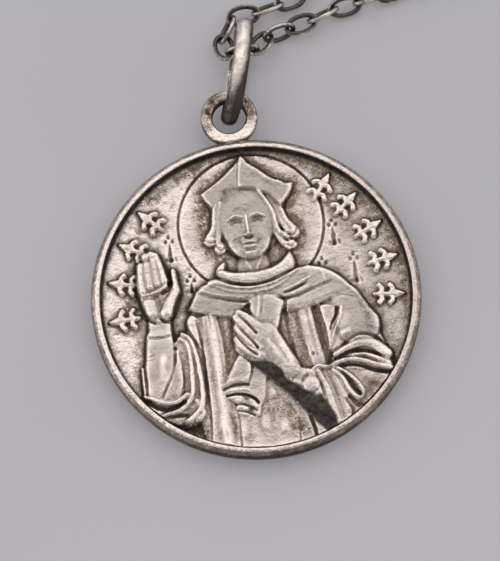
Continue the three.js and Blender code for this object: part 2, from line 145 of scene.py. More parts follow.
# The surface under it is smooth matt grey card, one flat sheet. A faint glow of its own stands for the light
# that the room throws back, which keeps the shadows on it soft and pale.
def new_material(name):
    """A material, its Principled node's inputs, and its Object coordinates in millimetres."""
    made = bpy.data.materials.new(name)
    made.use_nodes = True
    tree = made.node_tree
    start = Shade(tree)
    places = start.node("ShaderNodeTexCoord", {}, out=3)
    places = places.node("ShaderNodeVectorMath", {0: places, 3: 1000.0}, operation="SCALE")
    return made, tree.nodes["Principled BSDF"].inputs, places


def noise(places, scale, detail=2.0, rough=0.5, stretch=(1, 1, 1)):
    """Cloudy values near 0.5; scale is the number of clouds to a millimetre."""
    if stretch != (1, 1, 1):
        places = places.node("ShaderNodeVectorMath", {0: places, 1: stretch}, operation="MULTIPLY")
    return places.node("ShaderNodeTexNoise", {"Vector": places, "Scale": scale, "Detail": detail,
                                              "Roughness": rough})


def bump(height, strength, depth, **more):
    """Unevenness for a material's Normal, its depth in millimetres."""
    given = {"Strength": strength, "Distance": depth * mm, "Height": height}
    return height.node("ShaderNodeBump", given | more)


card, card_inputs, places = new_material("grey_card")
card_dark, card_light = (0.34, 0.335, 0.345, 1), (0.36, 0.355, 0.365, 1)
places.feed(card_inputs["Base Color"], noise(places, 0.02, 3).ramp(0.3, 0.7).mixed(card_dark, card_light))
card_inputs["Roughness"].default_value = 0.75
card_inputs["Specular IOR Level"].default_value = 0.2
card_inputs["Emission Color"].default_value = (0.125, 0.122, 0.127, 1)
card_inputs["Emission Strength"].default_value = 1.0
places.feed(card_inputs["Normal"], bump(noise(places, 9, 3), 0.15, 0.03))
floor_half = 2
floor_corners = [(x * floor_half, y * floor_half, 0) for x, y in ((-1, -1), (1, -1), (1, 1), (-1, 1))]
floor_data = bpy.data.meshes.new("floor")
floor_data.from_pydata(floor_corners, [], [(0, 1, 2, 3)])
floor_data.materials.append(card)
floor = bpy.data.objects.new("floor", floor_data)
bpy.context.scene.collection.objects.link(floor)

# The medal is one piece of silver, struck between dies: a flat back, a raised rim, a sunk field, and a
# haloed half figure in relief with a raised hand and a scroll. The hollows keep a brown-black patina, and
# years of handling have worn the rim and the high folds bright.
medal_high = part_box("medal")[1]
medal_r = medal_high.x / mm
rim_width = 0.7
field_depth = 0.65
relief_rise = 1.0
field_r = medal_r - rim_width
field_z = medal_thick - field_depth
unit = medal_r / 12

# The drawing is in twelfths of the medal's radius, and its heights are in shares of relief_rise above the
# field. Later forms lie over earlier ones.
drawing = []


def smooth_line(points, closed=False, cuts=5):
    """The points joined by a smooth curve; a point given twice stays a corner."""
    p = np.array(points, float)
    if closed:
        p = np.vstack([p[-1], p, p[:2]])
    else:
        p = np.vstack([2 * p[0] - p[1], p, 2 * p[-1] - p[-2]])
    t = np.linspace(0, 1, cuts, endpoint=False)[:, None]
    parts = []
    for a, b, c, d in zip(p[:-3], p[1:-2], p[2:-1], p[3:]):
        if np.allclose(b, c):
            continue
        into = (c - a) / 2 if not np.allclose(a, b) else (c - b) / 2
        away = (d - b) / 2 if not np.allclose(c, d) else (c - b) / 2
        parts.append((2 * t**3 - 3 * t**2 + 1) * b + (t**3 - 2 * t**2 + t) * into
                     + (3 * t**2 - 2 * t**3) * c + (t**3 - t**2) * away)
    if not closed:
        parts.append(p[-2][None])
    return np.vstack(parts)


def nearest(line, x, y, closed=False):
    """How far each place is from the line, and how far along the line its nearest point lies, 0 to 1."""
    gap = np.full(x.shape, np.inf)
    along = np.zeros(x.shape)
    ends = np.roll(line, -1, 0) if closed else line[1:]
    for i, ((ax, ay), (bx, by)) in enumerate(zip(line, ends)):
        dx, dy = bx - ax, by - ay
        share = np.clip(((x - ax) * dx + (y - ay) * dy) / max(dx * dx + dy * dy, 1e-12), 0, 1)
        here = np.hypot(x - ax - share * dx, y - ay - share * dy)
        closer = here < gap
        gap[closer] = here[closer]
        along[closer] = (i + share[closer]) / len(ends)
    return gap, along


def inside(line, x, y):
    within = np.zeros(x.shape, bool)
    for (ax, ay), (bx, by) in zip(np.roll(line, 1, 0), line):
        if ay == by:
            continue
        within ^= ((ay > y) != (by > y)) & (x < ax + (bx - ax) * (y - ay) / (by - ay))
    return within


def round_off(share):
    return np.sqrt(np.clip(1 - share**2, 0, 1))


def pair(value):
    return value if isinstance(value, tuple) else (value, value)


def blended(ends, along):
    first, last = pair(ends)
    return first + (last - first) * along


def draw(points, reach, lay):
    """Keeps how a form is laid, with the box that holds it."""
    drawing.append((np.min(points, 0) - reach, np.max(points, 0) + reach, lay))


def panel(at, rise, edge=0.2, slope=(0, 0)):
    """An area with a rounded border edge wide, which may lean by slope; it hides what lies under it."""
    line = smooth_line(at, closed=True)
    middle = line.mean(0)

    def lay(x, y, height):
        within = inside(line, x, y)
        gap, _ = nearest(line, x, y, closed=True)
        cover = np.where(within, round_off(1 - np.clip(gap / edge, 0, 1)), 0)
        lean = slope[0] * (x - middle[0]) + slope[1] * (y - middle[1])
        return height + (rise + lean - height) * cover

    draw(line, 0, lay)


def limb(at, r, top, thick=0.25):
    """A round form r wide each side of its line, from its top down to thick below it."""
    line = smooth_line(at)

    def lay(x, y, height):
        gap, along = nearest(line, x, y)
        radius = blended(r, along)
        round_top = blended(top, along) - thick * (1 - round_off(np.minimum(gap / radius, 1)))
        return np.where(gap < radius, np.maximum(height, round_top), height)

    draw(line, max(pair(r)), lay)


def fold(at, w, rise, fade=0.0):
    """A soft ridge w wide each side, added to what lies under it, or a furrow where rise is negative."""
    line = smooth_line(at)

    def lay(x, y, height):
        gap, along = nearest(line, x, y)
        share = np.minimum(gap / blended(w, along), 1)
        ends = np.clip(np.minimum(along, 1 - along) / fade, 0, 1) if fade else 1
        return height + blended(rise, along) * ends * (1 + np.cos(np.pi * share)) / 2

    draw(line, max(pair(w)), lay)


def oval_share(x, y, at, r, turn=0):
    """How far out each place lies in an oval: 0 in its middle, 1 at its border."""
    rx, ry = pair(r)
    c, s = math.cos(math.radians(turn)), math.sin(math.radians(turn))
    dx, dy = x - at[0], y - at[1]
    return np.hypot((dx * c + dy * s) / rx, (dy * c - dx * s) / ry)


def boss(at, r, rise, turn=0):
    """A soft oval swelling added to what lies under it, or a dent where rise is negative."""
    def lay(x, y, height):
        return height + rise * np.clip(1 - oval_share(x, y, at, r, turn) ** 2, 0, 1) ** 1.5

    draw([at], max(pair(r)), lay)


def dome(at, r, top, thick):
    """An oval form with a round top, thick from its top to its border."""
    def lay(x, y, height):
        share = oval_share(x, y, at, r)
        round_top = top - thick * (1 - round_off(np.minimum(share, 1)))
        return np.where(share < 1, np.maximum(height, round_top), height)

    draw([at], max(pair(r)), lay)


def relief_height(x, y):
    """The face's height above the back, in millimetres, at places given in millimetres."""
    u, v = x / unit, y / unit
    height = np.zeros(x.shape)
    for low, high, lay in drawing:
        near = (u > low[0]) & (u < high[0]) & (v > low[1]) & (v < high[1])
        height[near] = lay(u[near], v[near], height[near])
    return field_z + height * relief_rise


# Halo: a flat raised disc with a groove round it, open where the body covers it
halo_at, halo_r, groove_half = (0.43, 5.6), 5.28, 2.4
groove_r = halo_r + 0.06
dome(halo_at, halo_r, top=0.17, thick=0.1)
groove = [(halo_at[0] + groove_r * math.sin(a), halo_at[1] + groove_r * math.cos(a))
          for a in np.linspace(-groove_half, groove_half, 40)]
fold(groove, w=0.11, rise=-0.19)

# Robe: the broad fold at the left, the plain middle, the strips between the hand and the arm
panel([(-5.3, -1.4), (-3.9, -1.2), (-3.9, -10.6), (-5.0, -10.2), (-5.3, -8.0)], rise=0.24, edge=0.2)
panel([(-4.4, -0.9), (-4.42, -3), (-4.45, -6), (-4.6, -9), (-4.75, -10.8), (-2, -12), (2, -12),
       (4.4, -11.2), (4.6, -6), (4.5, -1.2)], rise=0.34, edge=0.22)
fold([(-3.55, -1), (-3.35, -4), (-3.4, -8), (-3.5, -11)], w=0.6, rise=0.2)
fold([(-3.05, -1.1), (-2.95, -3.5), (-3.0, -6.0)], w=0.16, rise=0.09, fade=0.1)
fold([(-3.62, -0.9), (-3.58, -1.6), (-3.5, -2.6)], w=0.14, rise=(-0.16, 0))
fold([(-2.98, -1), (-2.93, -1.8), (-2.9, -2.4)], w=0.12, rise=(-0.14, 0))
fold([(-4.0, -0.9), (-4.05, -3.2)], w=0.16, rise=(0.1, 0))
fold([(-2.45, -1.4), (-2.5, -3.6), (-2.35, -4.6)], w=0.3, rise=(0.1, 0.02))
fold([(-2.5, -7.6), (-2.5, -9.2), (-2.6, -11.2)], w=0.13, rise=(-0.05, -0.14))
fold([(-1.6, -9), (-1.4, -11.3)], w=0.7, rise=0.07)
fold([(0.2, -7.6), (0.6, -9.4), (0.4, -11.3)], w=0.8, rise=0.08)
fold([(1.25, -8.3), (1.75, -9.6), (1.6, -11.2)], w=0.12, rise=(-0.04, -0.1))
for x, y, wide, long in ((-2.3, -9.7, 0.52, 0.9), (-0.65, -9.5, 0.416, 0.9), (0.75, -9.9, 0.468, 0.7),
                         (0.15, -7.3, 0.39, 0.6), (-1.75, -5.6, 0.39, 0.5), (-3.5, -5.0, 0.455, 1.6),
                         (-3.7, -9.2, 0.39, 1.0)):
    boss((x, y), (wide, long), rise=0.11)
fold([(2.45, -8.9), (2.7, -9.9), (2.85, -10.9)], w=0.2, rise=-0.22)
fold([(2.95, -9.3), (3.3, -10), (3.6, -10.7)], w=0.3, rise=0.1)
fold([(1.9, -1.4), (1.98, -3.2), (2.2, -5.5)], w=0.22, rise=-0.1)
fold([(2.35, -1.6), (2.4, -3.4), (2.5, -5.2)], w=0.4, rise=0.05)
panel([(2.95, -1.3), (3.75, -1.3), (4.0, -3.4), (4.25, -5.8), (3.3, -5.8), (3.1, -3.6)], rise=0.5, edge=0.2,
      slope=(-0.05, 0))
fold([(2.86, -1.5), (3.02, -3.4), (3.2, -5.0)], w=0.14, rise=0.12)
fold([(3.45, -1.7), (3.6, -3.4), (3.75, -5.0)], w=0.2, rise=-0.06)
boss((3.45, -4.9), 0.15, rise=-0.2)
fold([(4.05, -1.4), (4.3, -3.4), (4.55, -5.7)], w=0.3, rise=-0.14)

# Wide sleeve of the raised arm, its hem and the bands that hang round it
panel([(-5.5, -1.9), (-6.0, -2.15), (-6.35, -2.5), (-6.4, -1.95), (-6.4, -1.95), (-8.25, -1.95),
       (-8.25, -1.95), (-8.45, -3.3), (-8.85, -4.3), (-9.0, -6.0), (-9.1, -6.6), (-8.2, -7.8), (-7.4, -8.5),
       (-6.3, -9), (-5.4, -8.8), (-4.75, -8.0), (-4.6, -6.5), (-4.62, -4.5), (-4.95, -3.0), (-5.2, -2.1)],
      rise=0.34, edge=0.16)
panel([(-5.3, -1.1), (-4.9, -0.7), (-4.45, -1.0), (-4.42, -2.0), (-4.45, -3.4), (-4.85, -2.6),
       (-5.2, -1.8)], rise=0.5, edge=0.2)
limb([(-5.95, -2.35), (-5.5, -2.75), (-5.35, -3.6), (-5.4, -5.2), (-5.55, -6.5), (-6.0, -7.2), (-6.8, -7.7),
      (-7.9, -7.95)], r=(0.16, 0.24), top=(0.55, 0.56), thick=0.2)
limb([(-5.75, -2.0), (-5.2, -2.5), (-4.95, -3.4), (-4.82, -5), (-4.82, -6.6), (-5.05, -7.6), (-5.6, -8.2),
      (-6.25, -8.65)], r=(0.15, 0.26), top=(0.56, 0.58), thick=0.22)
limb([(-5.3, -7.1), (-5.0, -8.0), (-5.4, -8.5)], r=(0.2, 0.3), top=(0.5, 0.52), thick=0.2)
limb([(-7.35, -2.15), (-7.5, -3.6), (-7.6, -5.0), (-7.6, -5.9)], r=(0.98, 1.2), top=(0.62, 0.7), thick=0.26)
limb([(-6.35, -3.3), (-6.3, -4.5), (-6.45, -5.6), (-6.8, -6.4)], r=(0.25, 0.5), top=(0.5, 0.62), thick=0.2)
fold([(-6.3, -3.0), (-6.5, -4.1), (-6.9, -5.2), (-7.75, -6.6)], w=0.14, rise=-0.2)
fold([(-7.15, -3.2), (-7.4, -4.2), (-7.5, -5.2)], w=0.4, rise=0.1, fade=0.3)
fold([(-6.4, -3.9), (-6.8, -5.0), (-7.3, -6.2)], w=0.18, rise=0.08, fade=0.2)
fold([(-5.95, -4.2), (-5.98, -5.4), (-6.2, -6.3)], w=0.1, rise=-0.12, fade=0.2)
fold([(-8.5, -3.35), (-8.15, -3.45), (-7.9, -3.4)], w=0.08, rise=-0.08)
fold([(-8.5, -3.6), (-8.15, -3.7), (-7.9, -3.62)], w=0.08, rise=-0.08)
fold([(-8.75, -4.0), (-8.72, -5.2), (-8.78, -6.2)], w=0.1, rise=-0.24)
limb([(-8.88, -4.15), (-8.93, -5.2), (-8.97, -6.25)], r=0.1, top=0.5, thick=0.15)
limb([(-9.0, -6.3), (-8.2, -6.75), (-7.4, -7.05), (-6.6, -6.95), (-5.95, -6.55)], r=(0.13, 0.18), top=0.66,
     thick=0.2)
fold([(-8.9, -6.75), (-8.0, -7.3), (-7.0, -7.45), (-6.2, -7.1)], w=0.2, rise=-0.25)
fold([(-8.0, -8.1), (-7.0, -8.0), (-6.1, -8.1)], w=0.16, rise=-0.2)
fold([(-4.55, -1.2), (-4.4, -3), (-4.42, -6), (-4.5, -8.5), (-4.7, -10.4)], w=0.14, rise=-0.16)

# Arm laid across the body: the upper arm, the folds at the elbow and the gathered lower sleeve
panel([(4.55, -1.3), (5.6, -0.95), (7.2, -0.95), (7.6, -1.6), (8.15, -2.8), (8.6, -4.2), (8.9, -5.2),
       (9.0, -6.0), (9.2, -6.9), (9.0, -8.4), (7, -10.2), (5.0, -11.2), (4.2, -10.6), (3.2, -8.8),
       (3.2, -7.4), (3.3, -6.2), (4.4, -6.0), (4.75, -4.8), (4.75, -3.4), (4.4, -2.2)], rise=0.42,
      edge=0.22)
limb([(6.4, -1.2), (6.75, -2.4), (7.0, -3.2)], r=(1.15, 1.6), top=(0.68, 0.82), thick=0.38)
panel([(4.45, -1.35), (5.55, -1.5), (5.85, -1.7), (5.75, -2.3), (5.2, -3.1), (4.9, -3.9), (4.72, -4.6),
       (4.65, -3.4), (4.5, -2.2)], rise=0.56, edge=0.2)
fold([(5.62, -1.75), (5.5, -2.3), (5.1, -2.9), (4.95, -3.3)], w=(0.12, 0.08), rise=-0.32)
fold([(5.95, -1.75), (5.75, -2.5), (5.3, -3.3), (4.98, -4.0), (4.75, -4.7)], w=0.16, rise=0.14)
fold([(5.3, -4.6), (5.6, -3.9), (6.2, -3.7)], w=0.5, rise=0.12)
fold([(4.9, -5.0), (5.7, -4.55), (6.4, -4.15), (7.0, -4.0), (7.8, -4.15), (8.4, -4.55), (8.85, -5.0)],
     w=(0.1, 0.14), rise=(-0.15, -0.3))
limb([(5.0, -5.2), (5.8, -4.85), (6.6, -4.62), (7.3, -4.6), (8.0, -4.9), (8.75, -5.7)], r=(0.2, 0.42),
     top=(0.66, 0.76), thick=0.22)
fold([(4.9, -5.55), (5.6, -5.3), (6.4, -5.08), (7.2, -5.2), (7.8, -5.5), (8.5, -5.95)], w=(0.1, 0.16),
     rise=-0.26)
limb([(6.3, -5.4), (7.2, -5.5), (7.9, -5.85), (8.75, -6.4)], r=(0.1, 0.26), top=(0.6, 0.68), thick=0.2)
limb([(4.7, -5.9), (5.5, -5.72), (6.2, -5.72), (7.0, -5.95), (7.8, -6.35), (8.85, -6.75)], r=(0.16, 0.2),
     top=(0.7, 0.7), thick=0.22)
fold([(5.2, -6.08), (6.1, -6.1), (6.9, -6.35), (7.7, -6.75), (8.8, -7.05)], w=(0.12, 0.2),
     rise=(-0.18, -0.28))
limb([(5.05, -6.2), (5.7, -6.7), (6.2, -7.3), (6.6, -8.0), (6.55, -8.45), (6.3, -8.65)], r=(0.14, 0.17),
     top=(0.62, 0.66), thick=0.2)
limb([(4.75, -6.35), (5.3, -7.0), (5.6, -7.8), (5.95, -8.4), (6.3, -8.65)], r=(0.15, 0.2), top=(0.62, 0.64),
     thick=0.2)
fold([(5.3, -6.55), (5.75, -7.2), (6.1, -7.9), (6.38, -8.35)], w=(0.08, 0.2), rise=(-0.15, -0.3))
fold([(7.0, -6.9), (7.6, -7.4), (8.2, -7.7)], w=0.5, rise=0.08)
fold([(5.6, -8.4), (6.1, -9.1), (6.9, -9.2), (7.9, -8.5)], w=0.25, rise=-0.2)
fold([(4.6, -6.35), (4.95, -7.3), (5.3, -8.4), (5.5, -9.3)], w=(0.2, 0.35), rise=0.09)
fold([(4.25, -6.4), (4.6, -7.5), (4.85, -8.8), (5.0, -9.8)], w=(0.12, 0.2), rise=-0.1)
limb([(3.6, -6.2), (3.9, -7.0), (4.15, -7.9), (4.35, -9.2), (4.5, -10.1)], r=(0.2, 0.3), top=(0.6, 0.54),
     thick=0.14)
limb([(3.3, -6.0), (3.7, -5.85), (4.1, -5.98), (4.7, -6.05)], r=(0.14, 0.2), top=(0.6, 0.66), thick=0.2)
fold([(5.35, -8.6), (5.7, -9.4), (5.6, -10.0)], w=0.2, rise=-0.22)

# Cape, open in front, with its hem; then the rolled collar under the chin
panel([(-3.3, 1.45), (-4.3, 0.95), (-4.3, 0.95), (-4.7, 0.3), (-5.1, -0.35), (-5.1, -0.35), (-4.0, -0.82),
       (-3, -1.12), (-1.95, -1.45), (-1.95, -1.45), (-1.0, -0.75), (0.5, -0.3), (1.95, -0.5), (1.95, -1.55),
       (1.95, -1.55), (3.1, -1.52), (4.1, -1.38), (5.0, -1.15), (6.1, -0.9), (7.1, -1.15), (7.4, -1.15),
       (7.4, -1.15), (7.1, -0.4), (6.3, 0.65), (5.3, 1.4), (4.3, 1.75), (3.6, 1.75), (0, 0.8)], rise=0.55,
      edge=0.17)
fold([(-4.2, 0.75), (-3.2, 0.35), (-2.0, -0.05), (-0.7, -0.35)], w=0.14, rise=(-0.08, -0.22))
fold([(-4.0, 0.95), (-2.7, 0.45), (-1.4, 0.12), (-0.3, 0.0)], w=0.22, rise=0.07)
fold([(1.9, 0.05), (2.7, 0.3), (3.5, 0.62), (4.3, 0.98)], w=0.12, rise=0.14, fade=0.15)
fold([(1.9, -0.12), (2.8, 0.1), (3.9, 0.5)], w=0.13, rise=-0.2, fade=0.15)
fold([(2.0, -0.5), (3.0, -0.4), (4.2, -0.05), (5.6, 0.3)], w=0.14, rise=(-0.26, -0.08))
fold([(2.0, -0.95), (3.2, -0.95), (4.6, -0.7), (6.0, -0.4)], w=0.5, rise=0.04)
fold([(5.0, 1.2), (5.1, 0.5)], w=0.12, rise=0.06)
panel([(-3.45, 1.45), (-2.9, 1.75), (-2.3, 1.6), (-1.2, 1.05), (0.2, 0.85), (1.7, 1.05), (3.1, 1.65),
       (3.6, 1.8), (3.0, 1.25), (1.8, 0.5), (1.0, 0.2), (0.2, 0.1), (-0.8, 0.15), (-2.0, 0.5)], rise=0.66,
      edge=0.3)
fold([(-3.0, 1.3), (-1.8, 0.75), (-0.6, 0.5), (0.4, 0.5), (1.5, 0.65), (2.9, 1.3)], w=0.12, rise=-0.1,
     fade=0.1)

# Neck, the hair that hangs at both sides, and the head
limb([(0.2, 3.6), (0.15, 1.7)], r=(1.0, 1.3), top=(0.42, 0.46), thick=0.3)
fold([(-0.5, 3.0), (0.0, 2.0)], w=0.14, rise=0.07)
fold([(0.9, 3.0), (0.35, 2.0)], w=0.14, rise=0.07)
dome((0.15, 5.6), (2.45, 2.6), top=0.42, thick=0.2)
panel([(-2.3, 7.6), (-2.15, 6.6), (-1.9, 5.4), (-1.2, 5.0), (1.6, 5.0), (2.2, 5.6), (2.9, 6.4), (3.0, 7.4),
       (0.3, 8.4)], rise=0.56, edge=0.3)
for lock in (
    dict(at=[(-2.0, 7.2), (-2.15, 6.2), (-2.3, 5.5), (-2.75, 4.85)], r=(0.26, 0.3), top=(0.66, 0.58)),
    dict(at=[(-1.6, 7.3), (-1.85, 6.2), (-1.98, 5.2), (-2.15, 4.5)], r=(0.24, 0.28), top=(0.74, 0.56)),
    dict(at=[(2.3, 7.2), (2.65, 6.4), (2.9, 5.5), (3.45, 4.7)], r=(0.26, 0.3), top=(0.56, 0.56)),
    dict(at=[(1.9, 7.3), (2.3, 6.4), (2.6, 5.4), (3.05, 4.5)], r=(0.26, 0.26), top=(0.64, 0.6)),
    dict(at=[(1.3, 7.75), (1.75, 7.0), (2.12, 6.1), (2.2, 5.3), (2.4, 4.6), (2.95, 4.1)], r=(0.16, 0.2),
         top=(0.9, 0.66)),
    dict(at=[(2.0, 5.3), (2.1, 4.6), (2.45, 3.9), (2.9, 3.4)], r=(0.22, 0.28), top=(0.6, 0.52)),
):
    limb(**lock, thick=0.24)
dome((-2.72, 4.62), (0.5, 0.42), top=0.62, thick=0.3)
dome((-2.05, 4.0), (0.46, 0.48), top=0.54, thick=0.28)
dome((3.45, 4.45), (0.45, 0.5), top=0.6, thick=0.3)
dome((3.15, 3.55), (0.44, 0.38), top=0.54, thick=0.28)
fold([(-3.1, 4.75), (-2.75, 4.42), (-2.35, 4.5)], w=0.13, rise=-0.2)
fold([(-2.4, 4.2), (-2.05, 3.75), (-1.7, 3.95)], w=0.12, rise=-0.18)
fold([(3.75, 4.7), (3.4, 4.2), (3.0, 4.3)], w=0.13, rise=-0.2)
fold([(3.5, 3.75), (3.15, 3.35), (2.8, 3.5)], w=0.12, rise=-0.16)

# The face is a plain calm one on the usual thirds, with the nose ending half way from the brow to the chin
face_x, chin_y, brow_y = 0.12, 2.8, 5.98
eye_y, nose_y, mouth_y = brow_y - 0.42, brow_y - 1.56, brow_y - 2.1
eye_gap, eye_half = 0.8, 0.4
dome((face_x, 5.85), (2.0, 2.75), top=0.9, thick=0.45)
dome((face_x, 4.4), (1.62, 1.62), top=0.88, thick=0.4)
boss((face_x, 7.2), (1.4, 0.9), rise=0.1)
for side in (-1, 1):
    eye_x = face_x + side * eye_gap
    boss((eye_x, eye_y + 0.08), (0.64, 0.42), rise=-0.26)
    boss((eye_x, eye_y - 0.02), (eye_half, 0.24), rise=0.17)
    fold([(eye_x - 0.42, eye_y - 0.04), (eye_x, eye_y + 0.2), (eye_x + 0.42, eye_y - 0.04)], w=0.07,
         rise=0.07)
    fold([(eye_x - 0.4, eye_y - 0.02), (eye_x, eye_y + 0.09), (eye_x + 0.4, eye_y - 0.02)], w=0.06,
         rise=-0.13)
    fold([(eye_x - 0.38, eye_y - 0.14), (eye_x, eye_y - 0.23), (eye_x + 0.38, eye_y - 0.12)], w=0.06,
         rise=0.05)
    fold([(eye_x - side * 0.52, brow_y - 0.05), (eye_x, brow_y + 0.12),
          (eye_x + side * 0.55, brow_y - 0.1)], w=0.16, rise=0.1)
    boss((face_x + side * 1.0, nose_y + 0.2), (0.6, 0.55), rise=0.07)
    boss((face_x + side * 0.26, nose_y + 0.16), (0.17, 0.15), rise=0.1)
    boss((face_x + side * 0.66, mouth_y), (0.2, 0.34), rise=-0.1)
fold([(face_x, brow_y + 0.05), (face_x, brow_y - 0.7), (face_x, nose_y + 0.22)], w=(0.2, 0.28),
     rise=(0.1, 0.34))
boss((face_x, nose_y + 0.18), (0.26, 0.2), rise=0.1)
fold([(face_x - 0.3, nose_y - 0.02), (face_x, nose_y - 0.06), (face_x + 0.3, nose_y - 0.02)], w=0.12,
     rise=-0.2)
fold([(face_x - 0.45, mouth_y + 0.05), (face_x - 0.13, mouth_y + 0.16), (face_x, mouth_y + 0.12),
      (face_x + 0.13, mouth_y + 0.16), (face_x + 0.45, mouth_y + 0.05)], w=0.1, rise=0.08)
fold([(face_x - 0.52, mouth_y), (face_x, mouth_y), (face_x + 0.52, mouth_y)], w=0.08, rise=-0.2)
fold([(face_x - 0.36, mouth_y - 0.14), (face_x, mouth_y - 0.2), (face_x + 0.36, mouth_y - 0.14)], w=0.13,
     rise=0.09)
fold([(face_x - 0.3, mouth_y - 0.4), (face_x, mouth_y - 0.44), (face_x + 0.3, mouth_y - 0.4)], w=0.16,
     rise=-0.14)
boss((face_x, chin_y + 0.4), (0.5, 0.36), rise=0.1)

# Four-cornered cap: a left plane, a broad front plane and the turned-up right corner, with its lower hem
panel([(-3.02, 8.3), (-3.02, 8.3), (-1.5, 9.15), (-0.5, 9.9), (-0.1, 10.25), (0.35, 10.7), (0.8, 10.2),
       (0.5, 9.0), (0.3, 8.3), (0.3, 8.3), (-1.1, 8.05), (-1.7, 7.55), (-2.1, 6.95), (-2.1, 6.95),
       (-2.65, 7.5)], rise=0.74, edge=0.22, slope=(0.12, 0))
panel([(2.7, 8.6), (3.2, 8.3), (3.6, 8.25), (3.98, 8.3), (3.98, 8.3), (3.75, 7.6), (3.3, 7.0), (2.75, 6.5),
       (2.75, 6.5), (2.4, 7.4)], rise=0.66, edge=0.18, slope=(-0.1, 0))
panel([(0.35, 10.7), (0.35, 10.7), (0.8, 10.15), (1.4, 9.68), (2.42, 8.76), (3.25, 8.35), (3.25, 8.35),
       (3.1, 7.6), (2.75, 6.55), (2.75, 6.55), (2.2, 7.2), (1.5, 7.7), (0.8, 8.0), (-0.15, 8.2),
       (-0.15, 8.2), (-0.02, 9.4)], rise=0.86, edge=0.16, slope=(-0.09, 0))
fold([(-2.15, 6.95), (-1.65, 7.6), (-1.1, 8.02), (-0.3, 8.2), (0.8, 8.0), (1.5, 7.7), (2.75, 6.6)], w=0.12,
     rise=0.06)
fold([(0.32, 10.5), (0.12, 9.6), (-0.1, 8.35)], w=0.34, rise=0.07)
fold([(-1.9, 8.6), (-1.5, 8.2)], w=0.4, rise=-0.05)
fold([(1.2, 8.8), (2.2, 8.0), (2.8, 7.4)], w=0.5, rise=-0.05)

# Collar band, standing round the neck
panel([(-2.6, 2.35), (-2.35, 2.6), (-1.9, 2.25), (-1.2, 2.0), (0, 1.85), (1.2, 1.97), (2.1, 2.35),
       (2.65, 2.85), (2.95, 3.0), (3.2, 2.4), (3.15, 1.75), (2.6, 1.45), (1.6, 1.08), (0.2, 0.88),
       (-1.2, 1.08), (-2.2, 1.5), (-2.65, 1.9)], rise=0.8, edge=0.3)
panel([(-2.6, 2.3), (-2.3, 2.75), (-1.8, 2.9), (-1.9, 2.4), (-2.1, 2.15)], rise=0.6, edge=0.15)

# Scroll: its upper roll, and below the hand the two loose sheets and the curled end
panel([(-0.6, -0.5), (-0.35, -0.1), (0.3, 0.05), (1.3, -0.1), (2.1, -0.6), (2.1, -0.6), (1.65, -1.6),
       (1.1, -3.1), (0.5, -2.9), (-0.2, -2.2), (-0.6, -1.3)], rise=0.7, edge=0.3)
fold([(0.2, 0.0), (0.1, -0.7), (-0.15, -1.7)], w=0.16, rise=0.08)
fold([(0.42, -0.05), (0.32, -0.8), (0.1, -1.6)], w=0.08, rise=-0.1)
panel([(-0.85, -5.0), (-0.05, -5.7), (-0.2, -6.6), (-0.4, -7.6), (-0.9, -8.1), (-1.3, -7.3), (-1.6, -6.3)],
      rise=0.5, edge=0.25)
panel([(-3.5, -6.85), (-3.25, -6.5), (-2.4, -6.3), (-1.5, -6.4), (-0.95, -7.0), (-0.75, -7.9),
       (-0.95, -8.7), (-1.2, -8.9), (-1.8, -8.8), (-2.55, -8.4), (-2.6, -7.7), (-3.2, -7.3)], rise=0.5,
      edge=0.2)
panel([(-1.7, -4.2), (-1.0, -5.1), (-1.45, -6.4), (-1.45, -6.4), (-2.4, -6.32), (-3.3, -6.5), (-3.3, -6.5),
       (-2.8, -5.5), (-2.1, -4.4)], rise=0.62, edge=0.25, slope=(0.04, 0))
fold([(-3.35, -6.62), (-2.6, -6.42), (-1.9, -6.42), (-1.45, -6.52)], w=0.1, rise=-0.24)
fold([(-1.0, -5.2), (-1.2, -5.9), (-1.5, -6.4)], w=0.1, rise=-0.16)
fold([(-3.15, -7.1), (-2.5, -7.05), (-1.8, -7.2), (-1.2, -7.55), (-0.95, -7.9)], w=(0.1, 0.16), rise=-0.4)
fold([(-2.6, -7.8), (-2.1, -7.85), (-1.6, -8.1), (-1.15, -8.45)], w=0.11, rise=-0.28)
fold([(-2.5, -8.3), (-2.0, -8.42), (-1.3, -8.8)], w=0.11, rise=-0.28)
fold([(-2.9, -6.8), (-2.2, -6.75), (-1.5, -6.9)], w=0.14, rise=0.08)

# Sleeve end, wrist and the hand that holds the scroll
panel([(0.9, -6.5), (1.6, -6.5), (2.4, -7.2), (3.2, -7.95), (3.7, -8.1), (4.2, -9.5), (4.9, -10.9),
       (3.9, -11.2), (2.6, -9.4), (1.9, -8.5), (1.0, -7.3)], rise=0.44, edge=0.35, slope=(0.05, 0.06))
panel([(1.35, -6.7), (1.75, -6.1), (2.4, -5.75), (3.3, -6.05), (3.5, -6.6), (3.75, -7.9), (3.3, -8.0),
       (2.4, -7.35), (1.8, -6.95)], rise=0.66, edge=0.25)
fold([(2.05, -5.95), (1.65, -6.4), (1.2, -6.95)], w=0.12, rise=0.1)
fold([(2.25, -6.05), (1.85, -6.5), (1.5, -6.95)], w=0.1, rise=-0.1)
dome((2.97, -7.12), (0.66, 0.64), top=0.82, thick=0.24)
fold([(2.35, -6.85), (2.5, -6.6), (2.85, -6.45)], w=0.09, rise=-0.16)
fold([(2.5, -7.65), (2.95, -7.78), (3.4, -7.65)], w=0.1, rise=-0.08)
panel([(-1.7, -0.82), (-1.3, -0.95), (-0.5, -1.85), (0.3, -2.65), (1.0, -3.15), (1.55, -3.7), (1.85, -4.4),
       (1.95, -5.1), (2.35, -5.65), (2.3, -6.15), (1.5, -6.6), (0.9, -6.9), (0.2, -6.35), (-0.9, -5.05),
       (-1.5, -4.45), (-2.05, -3.95), (-2.12, -3.2), (-1.98, -2.3), (-1.92, -1.4)], rise=0.6, edge=0.3)
